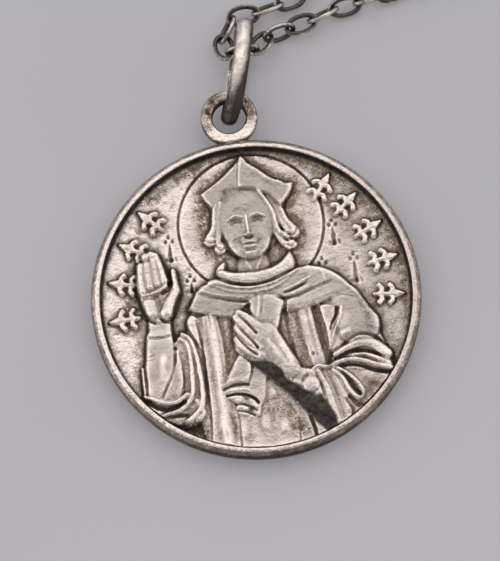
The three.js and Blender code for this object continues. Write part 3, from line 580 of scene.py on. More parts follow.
limb([(0.2, -3.1), (0.75, -4.1), (1.6, -5.7)], r=(1.05, 0.85), top=(0.92, 0.84), thick=0.26)
limb([(-0.4, -4.3), (0.2, -4.9), (0.9, -5.9)], r=(0.45, 0.4), top=(0.78, 0.72), thick=0.25)
fold([(0.2, -3.3), (0.65, -4.1), (1.1, -5.1)], w=0.3, rise=0.07, fade=0.2)
fold([(0.75, -3.4), (1.2, -4.4), (1.6, -5.3)], w=0.2, rise=-0.05)
for finger in (
    dict(at=[(0.45, -2.95), (-0.3, -2.2), (-0.95, -1.5), (-1.45, -1.1)], r=(0.38, 0.26), top=(0.92, 0.8)),
    dict(at=[(0.0, -3.3), (-0.65, -2.75), (-1.25, -2.05), (-1.7, -1.45)], r=(0.38, 0.28), top=(0.92, 0.8)),
    dict(at=[(-0.1, -3.9), (-0.75, -3.45), (-1.35, -2.75), (-1.75, -2.2)], r=(0.36, 0.27), top=(0.88, 0.76)),
    dict(at=[(-0.2, -4.5), (-0.9, -4.15), (-1.5, -3.6), (-1.88, -3.05)], r=(0.36, 0.27), top=(0.84, 0.72)),
):
    limb(**finger, thick=0.13)
fold([(-0.4, -2.85), (-0.72, -2.35), (-1.2, -1.65), (-1.45, -1.35)], w=(0.12, 0.07), rise=(-0.3, -0.14))
fold([(-0.42, -3.95), (-0.75, -3.4), (-1.3, -2.65), (-1.75, -1.95)], w=(0.12, 0.07), rise=(-0.32, -0.18))
fold([(-0.55, -4.45), (-1.05, -3.98), (-1.6, -3.2), (-1.92, -2.6)], w=(0.12, 0.07), rise=(-0.32, -0.18))

# Raised hand: wrist and cuff, palm, ball of the thumb, the pad under the fingers, then fingers and thumb
limb([(-7.2, -0.8), (-7.25, -2.1)], r=(0.82, 0.86), top=(0.5, 0.56), thick=0.22)
fold([(-8.15, -2.0), (-7.3, -2.17), (-6.4, -2.0)], w=0.09, rise=-0.18)
panel([(-8.4, 1.75), (-8.42, 0.9), (-8.25, 0.1), (-8.0, -0.5), (-7.6, -0.72), (-7.15, -0.62), (-6.7, -0.85),
       (-6.3, -0.75), (-5.95, -0.1), (-5.6, 0.8), (-5.42, 1.3), (-5.5, 2.0), (-5.9, 1.9), (-6.3, 1.7),
       (-7, 1.9)], rise=0.56, edge=0.3)
limb([(-5.85, 1.0), (-6.25, 0.4), (-6.6, -0.35)], r=(0.36, 0.48), top=(0.76, 0.84), thick=0.26)
limb([(-7.75, 0.55), (-7.6, -0.2)], r=(0.5, 0.45), top=(0.76, 0.74), thick=0.22)
fold([(-6.95, 0.7), (-7.0, 0.2), (-7.1, -0.4)], w=0.12, rise=-0.06, fade=0.2)
fold([(-8.15, 0.9), (-7.6, 0.85), (-7.0, 0.92)], w=0.07, rise=-0.14)
limb([(-8.05, 1.3), (-7.5, 1.38), (-6.95, 1.5), (-6.5, 1.75)], r=(0.26, 0.28), top=0.86, thick=0.26)
fold([(-6.7, 1.15), (-6.2, 1.4), (-5.95, 1.9)], w=0.14, rise=-0.22)
panel([(-8.36, 1.2), (-8.36, 3.3), (-8.1, 3.7), (-7.84, 3.8), (-7.74, 4.25), (-7.2, 4.48), (-6.86, 4.4),
       (-6.6, 4.0), (-6.3, 2.8), (-6.2, 1.8)], rise=0.6, edge=0.14)
for finger in (
    dict(at=[(-8.08, 1.5), (-8.1, 2.4), (-8.05, 3.42)], r=(0.28, 0.26), top=(0.78, 0.78)),
    dict(at=[(-7.52, 1.75), (-7.54, 2.8), (-7.53, 3.45)], r=(0.29, 0.27), top=(0.84, 0.86)),
    dict(at=[(-6.98, 1.9), (-7.02, 3.0), (-7.08, 4.1)], r=(0.29, 0.25), top=(0.84, 0.84)),
    dict(at=[(-6.44, 2.0), (-6.55, 3.0), (-6.82, 4.1)], r=(0.27, 0.22), top=(0.82, 0.82)),
):
    limb(**finger, thick=0.2)
dome((-7.6, 4.02), (0.3, 0.34), top=0.88, thick=0.2)
dome((-7.15, 4.2), (0.24, 0.26), top=0.84, thick=0.2)
for crease in ([(-7.78, 2.78), (-7.3, 2.76)], [(-7.8, 3.68), (-7.3, 3.66)], [(-7.22, 2.95), (-6.8, 2.95)],
               [(-7.2, 3.85), (-6.88, 3.85)], [(-6.72, 2.85), (-6.3, 2.8)], [(-8.4, 2.72), (-7.95, 2.7)]):
    fold(crease, w=0.06, rise=-0.06)
limb([(-5.62, 1.2), (-5.68, 1.9), (-5.72, 2.75)], r=(0.26, 0.2), top=(0.78, 0.76), thick=0.24)
fold([(-5.9, 1.75), (-5.5, 1.7)], w=0.07, rise=-0.08)
fold([(-5.85, 0.9), (-6.15, 0.3), (-6.35, -0.4)], w=0.06, rise=-0.06, fade=0.2)
fold([(-8.1, -0.5), (-7.75, -0.82), (-7.4, -0.98)], w=0.12, rise=-0.3)
fold([(-7.1, -0.75), (-6.85, -0.95), (-6.5, -1.0)], w=0.1, rise=-0.26)
dome((-7.26, -0.86), (0.18, 0.16), top=0.68, thick=0.14)

# Border of leafy sprigs, each pointing at the rim
sprig_out, sprig_rise = 9.68, 0.3
leaf_thick = 0.14
sprig_degrees = (-92, -76, -60, -45, 38, 51, 66, 81, 97)
sprig_leaves = (
    dict(at=[(0, -1.1), (0, -0.2), (0, 0.65)], r=(0.17, 0.2)),
    dict(at=[(0, 0.55), (0, 1.05)], r=(0.33, 0.13)),
    dict(at=[(0, -0.8), (0.35, -0.5), (0.64, -0.72)], r=(0.15, 0.23)),
    dict(at=[(0, -0.05), (0.38, 0.27), (0.66, 0.06)], r=(0.15, 0.23)),
)
for degrees in sprig_degrees:
    c, s = math.cos(math.radians(degrees)), math.sin(math.radians(degrees))
    for leaf in sprig_leaves:
        for side in (-1, 1) if leaf["at"][1][0] else (1,):
            at = [((out + sprig_out) * s + side * across * c, (out + sprig_out) * c - side * across * s)
                  for across, out in leaf["at"]]
            limb(at, r=leaf["r"], top=sprig_rise, thick=leaf_thick)

# Sunk spots: three dots over a spreading tail, which one of them lacks
tail_length = 1.5
for x, y, tail in ((-5.7, 5.25, 1), (-4.53, 2.1, 0.6), (6.28, 4.8, 1), (5.15, 2.0, 0), (7.45, 2.05, 1.2)):
    for dx, dy in ((0, 0.2), (-0.24, -0.12), (0.26, -0.14)):
        boss((x + dx, y + dy), 0.19, rise=-0.16)
    if tail:
        tail_y = y - tail_length * tail
        fold([(x, y - 0.4), (x, y - 0.75), (x - 0.05, tail_y)], w=(0.06, 0.34), rise=-0.16)
        for side in (-1, 0, 1):
            boss((x + side * 0.34, tail_y), (0.16, 0.26), rise=-0.1, turn=side * 20)


def keep_values(mesh, values):
    """Per-point values that the mesh's material reads, each under its own name."""
    for label, numbers in values.items():
        kept = mesh.attributes.new(label, "FLOAT", "POINT")
        kept.data.foreach_set("value", np.asarray(numbers, np.float32))


def finished(name, points, faces, material, values):
    """A piece from points in millimetres and its faces, with its per-point values for the material."""
    made = bpy.data.meshes.new(name)
    made.from_pydata((np.asarray(points) * mm).tolist(), [], np.asarray(faces).tolist())
    keep_values(made, values)
    made.shade_smooth()
    made.materials.append(material)
    piece = bpy.data.objects.new(name, made)
    bpy.context.scene.collection.objects.link(piece)
    return piece


# A grid over the whole medal, to find how deep each place lies among its neighbours
grid_n, grid_over = 720, 1.04
step = 2 * medal_r * grid_over / grid_n
line = (np.arange(grid_n) - (grid_n - 1) / 2) * step
grid_x, grid_y = np.meshgrid(line, line)
grid_r = np.hypot(grid_x, grid_y)


def blurred(field, sigma):
    """The grid's values softened by a round brush, its size in millimetres."""
    f = np.fft.fftfreq(grid_n, step)
    soft = np.exp(-2 * (np.pi * sigma) ** 2 * (f[:, None] ** 2 + f[None] ** 2))
    return np.fft.ifft2(np.fft.fft2(field) * soft).real


def sampled(field, x, y):
    """The grid's values at places in millimetres."""
    u = np.clip((x - line[0]) / step, 0, grid_n - 1.001)
    v = np.clip((y - line[0]) / step, 0, grid_n - 1.001)
    i, j = u.astype(int), v.astype(int)
    a, b = u - i, v - j
    return ((field[j, i] * (1 - a) + field[j, i + 1] * a) * (1 - b)
            + (field[j + 1, i] * (1 - a) + field[j + 1, i + 1] * a) * b)


# Striking and wear leave no edge sharp
soft_edge, wall_rise = 0.05, 0.3
struck = blurred(np.where(grid_r < field_r, relief_height(grid_x, grid_y), field_z), soft_edge)
surface = np.where(grid_r > field_r, field_z + wall_rise, struck)
hollow = sum(share * np.clip((blurred(surface, sigma) - surface) / deep, -0.6, 1.6)
             for sigma, deep, share in ((0.1, 0.05, 0.42), (0.28, 0.11, 0.42), (0.8, 0.24, 0.34)))
proud = sum(share * np.clip((surface - blurred(surface, sigma)) / high, -1, 1.5)
            for sigma, high, share in ((0.09, 0.03, 0.5), (0.3, 0.1, 0.5)))

# Brown stains, black tarnish, duller silver, and painted highlights and shade lie in set places: soft spots,
# as x, y, size and strength, and soft-edged areas, as an outline, the width of the edge and a strength
stain_spots = ((-2.9, 9.4, 0.8, 0.5), (-4.9, -0.2, 0.5, 0.5), (-6.6, 6.0, 0.8, 0.25), (6.9, 4.2, 0.7, 0.3),
               (-8.9, 0.8, 0.9, 0.3))
stain_areas = (
    ([(1.9, -1.5), (2.8, -1.5), (3.1, -5.6), (2.1, -5.5)], 0.25, 0.65),
    ([(3.8, -1.5), (4.35, -1.5), (4.8, -5.8), (4.2, -5.8)], 0.2, 0.75),
    ([(-2.8, -1.4), (-2.0, -1.6), (-2.1, -4.1), (-2.5, -5.0), (-3.1, -6.3), (-3.1, -8.0), (-2.7, -9.5),
      (-3.1, -9.5), (-3.3, -6.0), (-2.8, -4.0)], 0.25, 0.8),
    ([(-7.6, -8.0), (-6.3, -8.6), (-5.0, -8.7), (-4.75, -10), (-5.5, -9.9), (-7, -9)], 0.3, 1.0),
    ([(6.9, -7.2), (8.6, -7.4), (8.3, -8.5), (6.9, -9.4), (5.6, -10), (5.6, -9), (6.6, -8.3)], 0.4, 0.8),
    ([(-0.8, -8.3), (0.2, -7.3), (1.2, -8.2), (2.3, -9.6), (2.9, -10.9), (1.6, -10.6), (0.6, -9.2)], 0.5,
     0.6),
    ([(-2.4, -8.9), (1.0, -7.6), (2.6, -10), (2.4, -11), (-2.4, -10.9)], 0.6, 0.14),
)
# Duller, greyer silver where hands don't rub it bright: the cap, the face and the cape's edge. Painted shade
# lies behind the elbow on the arm's far side, beside the raised forearm and on the hand, and a spot dulls the
# halo's left side
dull_and_shade_areas = (
    ([(-3.0, 8.3), (-1.4, 9.2), (0.35, 10.7), (1.4, 9.7), (3.3, 8.4), (4.0, 8.3), (2.7, 6.5), (1.4, 7.7),
      (-1.0, 8.1), (-2.1, 6.9)], 0.3, 0.5),
    ([(-1.9, 6.9), (0, 8.1), (2, 6.9), (2.2, 4.6), (1.2, 2.9), (-0.9, 2.9), (-1.9, 4.4)], 0.4, 0.22),
    ([(-4.9, 0.3), (-3.2, 1.4), (-1, 0.6), (0.4, -0.3), (-1.9, -1.4), (-5.0, -0.3)], 0.3, 0.3),
    ([(5.6, 0.6), (7.4, -0.9), (8.3, -3.2), (8.8, -5.0), (7.8, -4.2), (6.3, -3.6), (6.4, -1.2)], 0.7, 0.55),
)
dull_and_shade_spots = ((-4.3, 5.2, 1.2, 0.25), (-8.1, -4.8, 0.4, 0.4), (-6.6, -5.4, 0.35, 0.4),
              (-8.2, -3.0, 0.4, 0.3), (0.2, -5.6, 0.5, 0.35))
# Painted highlights on the arms, the hand, the cuff, the sleeve's folds and the robe
highlight_spots = ((6.1, -2.7, 0.6, 0.5), (1.3, -4.2, 0.5, 0.5), (1.7, -5.1, 0.4, 0.45), (2.6, -6.0, 0.35, 0.4),
                (-7.25, -3.8, 0.35, 0.5), (-7.35, -5.1, 0.4, 0.55), (3.4, -2.2, 0.3, 0.5),
                (3.7, -4.6, 0.3, 0.4), (-5.0, -5.2, 0.3, 0.4), (-5.9, -3.0, 0.3, 0.4))
highlight_areas = (
    ([(-4.0, -2), (-3.2, -2), (-2.9, -6), (-0.5, -7.5), (1, -7.6), (2.4, -9.8), (2.6, -11), (-4, -10.9)],
     0.5, 0.3),
)
# These stain only the low ground, round the head and along the rim
low_stains = (
    ([(-2.2, 6.9), (-3.2, 7.8), (-3.6, 6.8), (-3.4, 5.0), (-3.2, 3.6), (-2.6, 3.2), (-1.8, 3.0),
      (-1.7, 4.4)], 0.5, 1.0),
    ([(-3.4, 8.4), (-1.6, 9.7), (-0.2, 10.7), (0.5, 11.2), (1.8, 10.1), (3.2, 9.0), (4.4, 8.8), (4.5, 7.4),
      (3.6, 6.4), (4.2, 5.2), (4.2, 3.6), (3.3, 2.6), (2.2, 3.2), (2.2, 7), (0, 9)], 0.5, 0.9),
    ([(-7.0, 8.6), (-4.0, 10.4), (0, 11.3), (4, 10.6), (8, 8.0), (10.3, 4.6), (11.4, 0), (11.0, -4),
      (10.4, -3.4), (10.4, 1), (9.2, 4.7), (6.8, 7.8), (3.4, 9.8), (0, 10.9), (-3.6, 9.8), (-6.6, 8.2)],
     0.4, 0.7),
)
# Black tarnish with painted shade: in the deep gaps under the hand, the sleeve and the arm, along the robe's
# left edge, and down the far side of the upper arm
tarnish_and_shade_spots = ((1.9, -10.3, 0.6, 0.5), (-7.2, -7.5, 0.7, 0.5), (-1.75, -7.5, 0.4, 0.7),
                 (-1.5, -8.35, 0.35, 0.75), (-5.6, -9.3, 0.7, 0.75), (-6.6, -8.8, 0.5, 0.6),
                 (0.3, -10.4, 0.35, 0.5))
tarnish_and_shade_areas = (
    ([(-1.9, -4.1), (-1.1, -4.75), (0.1, -5.0), (1.0, -5.65), (1.35, -6.5), (2.0, -7.05), (2.6, -7.5),
      (3.2, -8.0), (3.7, -8.15), (4.5, -10.1), (3.7, -10.7), (2.6, -9.4), (1.9, -8.5), (1.0, -7.3),
      (0.0, -6.15), (-1.0, -5.2)], 0.4, 1.0),
    ([(5.2, -6.15), (6.9, -6.45), (8.8, -7.0), (8.7, -7.5), (7.2, -6.9), (5.6, -6.5)], 0.25, 0.5),
    ([(6.9, -0.6), (7.6, -1.0), (8.4, -3.2), (8.9, -5.0), (7.9, -4.2), (7.2, -3.4)], 0.7, 0.5),
    ([(-4.65, -1.6), (-4.3, -1.6), (-4.35, -6), (-4.4, -9.5), (-4.8, -9.5), (-4.6, -5)], 0.15, 0.3),
)


def spotted(x, y, spots=(), areas=()):
    """The strength of the spots and areas at each place, 0 to 1."""
    total = np.zeros(x.shape)
    for sx, sy, size, strength in spots:
        total += strength * np.exp(-(((x - sx) ** 2 + (y - sy) ** 2) / size**2))
    for at, edge, strength in areas:
        line = smooth_line(at, closed=True)
        gap, _ = nearest(line, x, y, closed=True)
        share = np.clip(0.5 + np.where(inside(line, x, y), gap, -gap) / (2 * edge), 0, 1)
        total += strength * share * share * (3 - 2 * share)
    return np.clip(total, 0, 1)


def point_value(places, label):
    """A value that the piece keeps for each of its points."""
    return places.node("ShaderNodeAttribute", {}, out=2, attribute_name=label)


# The silver: cream where it is worn and where highlights are painted, brown in a stain, and brown-black in
# the hollows, in tarnish and where shade is painted
silver, inputs, places = new_material("aged_silver")
hollow_and_shade_value, wear_and_light_value, stain_value, tarnish_and_shade_value = (
    point_value(places, label) for label in ("hollow", "worn", "stain", "tarnish_and_shade"))
patch = noise(places, 0.55, 3, 0.55)
mottle = noise(places, 2.2, 5, 0.65)
speck = noise(places, 9, 3, 0.6)
depth = hollow_and_shade_value + (mottle - 0.5) * 1.5 + (speck - 0.5) * 1.3 + (patch - 0.5)
pits = noise(places, 4.5, 2, 0.5).ramp(0.62, 0.68) * stain_value
# Black where tarnish and painted shade lie, broken up by the mottle
tarnish_and_shade_share = (tarnish_and_shade_value * 1.3 + mottle * 1.2 + speck * 0.6 - 1.3).ramp(0.0, 0.55)
black = (depth.ramp(0.68, 1.35) + pits + tarnish_and_shade_share).at_most(1.0)
brown = depth.ramp(0.1, 0.65) * 0.75 + stain_value * (mottle * 0.6 + speck * 0.6).ramp(0.45, 0.62)
bright_colour = wear_and_light_value.ramp(-0.3, 0.9).mixed((0.4, 0.345, 0.31, 1), (0.86, 0.75, 0.68, 1))
stained_colour = brown.at_most(1.0).mixed(bright_colour, (0.18, 0.13, 0.09, 1))
near_black, brown_black = (0.012, 0.01, 0.01, 1), (0.085, 0.066, 0.056, 1)
black_colour = (mottle * 0.7 + speck * 0.3).ramp(0.4, 0.68).mixed(near_black, brown_black)
places.feed(inputs["Base Color"], black.mixed(stained_colour, black_colour))
places.feed(inputs["Metallic"], 1 - black * 0.8)
inputs["Specular IOR Level"].default_value = 0.25
scratches_up = noise(places, 1.2, 6, 0.7, stretch=(11, 1.5, 1))
scratches_across = noise(places, 1.2, 6, 0.7, stretch=(1, 14, 1))
scratches = (scratches_up + scratches_across) * 0.5
places.feed(inputs["Roughness"], 0.14 + black * 0.25 + brown * 0.12 + scratches * 0.18)
lumps = bump(noise(places, 1.6, 4, 0.6), 0.6, 0.3)
places.feed(inputs["Normal"], bump(mottle * 0.9 + speck * 0.8 + scratches * 0.4, 0.5, 0.03, Normal=lumps))

# The struck face carries the relief, here as rings of points from its middle out. It is closed underneath,
# where it sits in the body.
rings = 178
fillet, fillet_rise = 0.3, 0.12
ring_of = np.repeat(np.arange(1, rings + 1), 6 * np.arange(1, rings + 1))
start_of = 1 + 3 * np.arange(rings + 1) * (np.arange(rings + 1) - 1)
start_of[0] = 0
turn = 2 * np.pi * (np.arange(1, len(ring_of) + 1) - start_of[ring_of]) / (6 * ring_of)
face_r = field_r - 0.01
x = np.append(0, face_r * ring_of / rings * np.cos(turn))
y = np.append(0, face_r * ring_of / rings * np.sin(turn))
out = np.hypot(x, y)
z = sampled(struck, x, y) + fillet_rise * np.clip((out - face_r + fillet) / fillet, 0, 1) ** 2
faces = []
for ring in range(1, rings + 1):
    inner_count = max(6 * (ring - 1), 1)
    sixth, i = np.divmod(np.arange(6 * ring), ring)
    a = start_of[ring] + sixth * ring + i
    b = start_of[ring] + (sixth * ring + i + 1) % (6 * ring)
    c = start_of[ring - 1] + (sixth * (ring - 1) + i) % inner_count
    faces.append(np.stack([a, b, c], 1))
    if ring > 1:
        more = i < ring - 1
        d = start_of[ring - 1] + (sixth * (ring - 1) + i + 1) % inner_count
        faces.append(np.stack([c, b, d], 1)[more])
edge = start_of[rings] + np.arange(6 * rings)
under = len(x) + np.arange(6 * rings)
cup_z = field_z - 0.35
faces.append(np.stack([edge, under, np.roll(under, -1)], 1))
faces.append(np.stack([edge, np.roll(under, -1), np.roll(edge, -1)], 1))
faces.append(np.stack([np.roll(under, -1), under, np.full(6 * rings, len(x) + 6 * rings)], 1))
points = np.vstack([np.stack([x, y, z], 1), np.stack([x[edge], y[edge], np.full(len(edge), cup_z)], 1),
                    [[0, 0, cup_z]]])
px, py = points[:, 0], points[:, 1]
low = np.clip((0.28 - (points[:, 2] - field_z) / relief_rise) / 0.08, 0, 1)
# Patina darkens the field along the inner wall, and painted shade makes it darker there except on the near
# side
wall_patina_and_shade = np.clip(1 + (np.hypot(px, py) - face_r) / 0.25, 0, 1) * (py > -4)
medal_face = finished("medal_face", points, np.vstack(faces), silver, {
    "hollow": sampled(hollow, px, py) + 0.5 * wall_patina_and_shade,
    # The worn value is wear on the high places and brighter low ground, with painted highlights added and
    # painted shade and duller silver taken off
    "worn": sampled(proud, px, py) - 0.08 + low * (0.4 - 0.03 * px)
            + spotted(px, py, highlight_spots, highlight_areas) - spotted(px, py, dull_and_shade_spots, dull_and_shade_areas),
    "stain": spotted(px, py, stain_spots, stain_areas) + low * spotted(px, py, (), low_stains),
    "tarnish_and_shade": spotted(px, py, tarnish_and_shade_spots, tarnish_and_shade_areas)})

# The body round it is the same blank of silver: inner wall, rim, edge and flat back, here one turned section
# of (radius, height). Its edge is a little out of round and nicked from wear.
section = [(field_r, cup_z), (field_r, field_z + 0.1), (field_r + 0.02, medal_thick - 0.2),
           (field_r + 0.05, medal_thick - 0.05), (field_r + 0.1, medal_thick),
           (field_r + 0.2, medal_thick + 0.01), (field_r + 0.32, medal_thick - 0.01),
           (field_r + 0.38, medal_thick - 0.05), (field_r + 0.5, medal_thick - 0.14),
           (field_r + 0.6, medal_thick - 0.24), (field_r + 0.67, medal_thick - 0.36),
           (medal_r, medal_thick - 0.55), (medal_r, 0.95),
           (medal_r - 0.03, 0.7), (medal_r - 0.11, 0.42), (medal_r - 0.26, 0.16), (medal_r - 0.46, 0.02),
           (medal_r - 0.6, 0)]
steps, nicks = 420, 26
angle = np.linspace(0, 2 * np.pi, steps, endpoint=False)
rng = np.random.default_rng(4)
wobble = sum(rng.normal() * np.cos(k * angle + rng.uniform(0, 6.3)) / k for k in range(2, 14)) * 0.012
level = sum(rng.normal() * np.cos(k * angle + rng.uniform(0, 6.3)) / k**0.5 for k in range(3, 30)) * 0.006
for _ in range(nicks):
    away = np.abs((angle - rng.uniform(0, 2 * np.pi) + np.pi) % (2 * np.pi) - np.pi)
    level -= rng.uniform(0.02, 0.07) * np.exp(-((away / rng.uniform(0.006, 0.03)) ** 2))
points, dark = [], []
for r, height in section:
    outer = np.clip((r - field_r - 0.1) / 0.3, 0, 1)
    high = np.clip((height - 1.3) / 0.5, 0, 1)
    ring_r = r + wobble * outer
    points.append(np.stack([ring_r * np.cos(angle), ring_r * np.sin(angle),
                            height + level * high * (0.4 + outer)], 1))
    # The inner wall keeps dark patina, with painted shade added towards the far side; the outer slope and
    # wall are darker all round, with painted shade added on the near half
    if r < field_r + 0.06:
        dark.append(1.25 + 0.35 * np.sin(angle))
    elif height > medal_thick - 0.03:
        dark.append(np.full(steps, -0.3))
    else:
        edge_dark = 0.4 if height > medal_thick - 0.3 else 0.85
        dark.append(edge_dark + np.clip(-np.sin(angle), 0, 1) ** 2 * 0.5)
count = len(points)
points = np.vstack([*points, [[0, 0, cup_z], [0, 0, 0]]])
faces = []
around = np.arange(steps)
for k in range(count - 1):
    a, b = k * steps + around, k * steps + np.roll(around, -1)
    faces += [np.stack([a, b, b + steps], 1), np.stack([a, b + steps, a + steps], 1)]
faces.append(np.stack([np.full(steps, count * steps), np.roll(around, -1), around], 1))
last = (count - 1) * steps
faces.append(np.stack([last + around, last + np.roll(around, -1), np.full(steps, count * steps + 1)], 1))
faces = np.vstack(faces)[:, ::-1]
dark = np.append(np.concatenate(dark), [1.3, 0.2])
# The rim's top is worn bright; its value falls towards the right
rim_top_tone = 0.62 - 0.35 * np.clip(points[:, 0] / medal_r, 0, 1)
medal_body = finished("medal_body", points, faces, silver, {
    "hollow": dark, "worn": np.where(points[:, 2] > medal_thick - 0.1, rim_top_tone, 0.2),
    "stain": np.zeros(len(points)), "tarnish_and_shade": np.zeros(len(points))})
for piece in (medal_face, medal_body):
    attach(piece, "root")
    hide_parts("medal")


# The hanging loop is a flat ring of the same silver, cut from sheet and filed round. Its foot is soldered to
# the rim, where the joint shows as a dark line, and the patina stays in its hole.
def joined_solid(name, parts, voxel, material):
    """Closed shells in millimetres, welded into one skin."""
    points, faces = [], []
    for part_points, part_faces in parts:
        faces += [[i + len(points) for i in face] for face in part_faces]
        points += [tuple(p) for p in part_points]
    made = bpy.data.meshes.new(name)
    made.from_pydata(points, [], faces)
    piece = bpy.data.objects.new(name, made)
    bpy.context.scene.collection.objects.link(piece)
    weld = piece.modifiers.new("weld", "REMESH")
    weld.mode, weld.voxel_size = "VOXEL", voxel
    soften = piece.modifiers.new("soften", "SMOOTH")
    soften.factor, soften.iterations = 0.5, 4
    bpy.context.view_layer.update()
    skin = bpy.data.meshes.new_from_object(piece.evaluated_get(bpy.context.evaluated_depsgraph_get()))
    piece.modifiers.clear()
    piece.data = skin
    skin.transform(Matrix.Scale(mm, 4))
    skin.shade_smooth()
    skin.materials.clear()
    skin.materials.append(material)
    bpy.data.meshes.remove(made)
    return piece


def points_of(piece):
    """A piece's points, in millimetres."""
    co = np.empty(len(piece.data.vertices) * 3)
    piece.data.vertices.foreach_get("co", co)
    return co.reshape(-1, 3) / mm


def lathed(section, steps, centre):
    """A closed ring from a closed section of (radius, height) points, turned about a vertical axis."""
    n = len(section)
    points = [(centre[0] + r * math.cos(a), centre[1] + r * math.sin(a), centre[2] + h)
              for a in np.linspace(0, 2 * math.pi, steps, endpoint=False) for r, h in section]
    faces = [[i * n + j, ((i + 1) % steps) * n + j, ((i + 1) % steps) * n + (j + 1) % n, i * n + (j + 1) % n]
             for i in range(steps) for j in range(n)]
    return points, faces


loop_r, loop_hole, loop_thick, loop_rounding = 2.1, 1.23, 0.8, 0.14
loop_drop, loop_bite = 0.12, 0.245
loop_y = medal_r - loop_bite + loop_r
loop_top = medal_thick - loop_drop
loop_mid = loop_top - loop_thick / 2


def rounded_section(low, high, half, round_by):
    """A rounded rectangle between two radii, half as high each way."""
    corners = ((high, half, 0), (low, half, 90), (low, -half, 180), (high, -half, 270))
    return [(x0 + (-1 if x0 == high else 1) * round_by + round_by * math.cos(math.radians(start + a)),
             z0 - math.copysign(round_by, z0) + round_by * math.sin(math.radians(start + a)))
            for x0, z0, start in corners for a in (0, 30, 60, 90)]


ring_section = rounded_section(loop_hole, loop_r, loop_thick / 2, loop_rounding)
ring_part = lathed(ring_section, 96, (0, loop_y, loop_mid))
foot_half = [(0.6, 12.4), (1.25, 12.75), (1.04, 12.3), (1.02, 12.0), (1.1, 11.7)]
foot_line = [(-x, y) for x, y in foot_half[::-1]] + foot_half
foot_low, foot_high = -loop_thick / 2, loop_thick / 2 - 0.03
n = len(foot_line)
foot_points = [(x, y, loop_mid + h) for h in (foot_low, foot_high) for x, y in foot_line]
foot_faces = [list(range(n))[::-1], list(range(n, 2 * n))]
foot_faces += [[i, (i + 1) % n, n + (i + 1) % n, n + i] for i in range(n)]
hanging_loop = joined_solid("hanging_loop", [ring_part, (foot_points, foot_faces)], 0.05, silver)
x, y, z = points_of(hanging_loop).T
from_hole = np.hypot(x, y - loop_y)
in_hole = np.clip((loop_hole + 0.2 - from_hole) / 0.16, 0, 1)
on_edge = np.clip((from_hole - loop_r + 0.16) / 0.16, 0, 1)
joint_y, joint_half = 11.93, 0.14
joint_line = np.exp(-((y - joint_y) / joint_half) ** 2)
# Painted shade darkens the lower part of its edge, and its worn value falls over its far half
underside_shade = np.clip((loop_top - 0.35 - z) / 0.3, 0, 1)
keep_values(hanging_loop.data, {
    "hollow": in_hole * 1.4 + on_edge * 0.7 + joint_line * 0.9 + underside_shade * 0.5 - 0.1,
    "worn": np.clip((z - loop_top + 0.25) / 0.2, 0, 1) * 0.8 - 0.5 * np.clip(y - loop_y, 0, 1),
    "stain": spotted(x, y, ((-1.4, 14.4, 1.0, 1.0), (-0.8, 15.4, 0.8, 1.0), (1.2, 15.2, 0.9, 1.0),
                            (1.7, 13.9, 0.9, 0.9), (-1.8, 13.2, 0.5, 0.6))),
    "tarnish_and_shade": spotted(x, y, ((-1.5, 14.4, 0.35, 0.8), (-1.0, 15.2, 0.3, 0.7), (1.4, 14.9, 0.3, 0.6),
                              (1.25, 13.9, 0.25, 0.6)))})
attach(hanging_loop, "root")
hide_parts("medal")


# The bail is a long ring bent from flat silver band with a crowned outer face, and soldered closed. It
# stands on edge through the hanging loop, leans to the right and holds the chain at its far end.
bail_length, bail_height, band_width, band_thick = 8.4, 3.3, 1.25, 0.55
bail_heading, bail_lean, bail_inset = math.radians(90 - 15.5), math.radians(9.5), 0.65
far_squareness, near_squareness, near_bend, bend_length = 3, 2.2, -0.22, 3.5
bail_foot = Vector((-bail_height * 0.4 * math.sin(bail_lean), loop_y - loop_hole + bail_inset,
                    band_width / 2 * math.sin(bail_lean)))
bail_place = (Matrix.Translation(bail_foot) @ Matrix.Rotation(bail_heading, 4, "Z")
              @ Matrix.Rotation(math.pi / 2 + bail_lean, 4, "X"))
band_steps, band_section, crown_half = 120, [], 88
half_w, half_t = band_width / 2, band_thick / 2
for a in np.radians(np.linspace(-crown_half, crown_half, 15)):
    band_section.append((half_t * (2 * math.cos(a) ** 0.9 - 1), half_w * math.sin(a)))
for t, w in ((-0.75, 0.9), (-1, 0.6), (-1, 0), (-1, -0.6), (-0.75, -0.9)):
    band_section.append((half_t * t, half_w * w))
points, faces = [], []
n = len(band_section)
for i in range(band_steps):
    a = 2 * math.pi * i / band_steps
    c, s = math.cos(a), math.sin(a)
    e = 2 / (far_squareness if c > 0 else near_squareness)
    middle = Vector(((bail_length - band_thick) / 2 * math.copysign(abs(c) ** e, c),
                     (bail_height - band_thick) / 2 * math.copysign(abs(s) ** e, s), 0))
    outward = Vector((math.copysign(abs(c) ** (2 - e), c) / bail_length,
                      math.copysign(abs(s) ** (2 - e), s) / bail_height, 0)).normalized()
    bend = near_bend * max(0, 1 - (middle.x + bail_length / 2) / bend_length) ** 2
    for t, w in band_section:
        local = middle + outward * t + Vector((bail_length / 2, bail_height / 2, w + bend))
        points.append(tuple(bail_place @ local))
    for j in range(n):
        k = (i + 1) % band_steps
        faces.append([k * n + j, k * n + (j + 1) % n, i * n + (j + 1) % n, i * n + j])
band_silver, inputs, places = new_material("band_silver")
mottle = noise(places, 1.3, 5, 0.6)
speck = noise(places, 8, 3, 0.6)
dark_share = (point_value(places, "dark") + (mottle - 0.5) * 0.9 + (speck - 0.5) * 0.6).ramp(0.25, 1.1)
worn_silver = mottle.ramp(0.35, 0.65).mixed((0.5, 0.43, 0.385, 1), (0.8, 0.71, 0.65, 1))
places.feed(inputs["Base Color"], dark_share.mixed(worn_silver, (0.045, 0.033, 0.028, 1)))
places.feed(inputs["Metallic"], 1 - dark_share * 0.3)
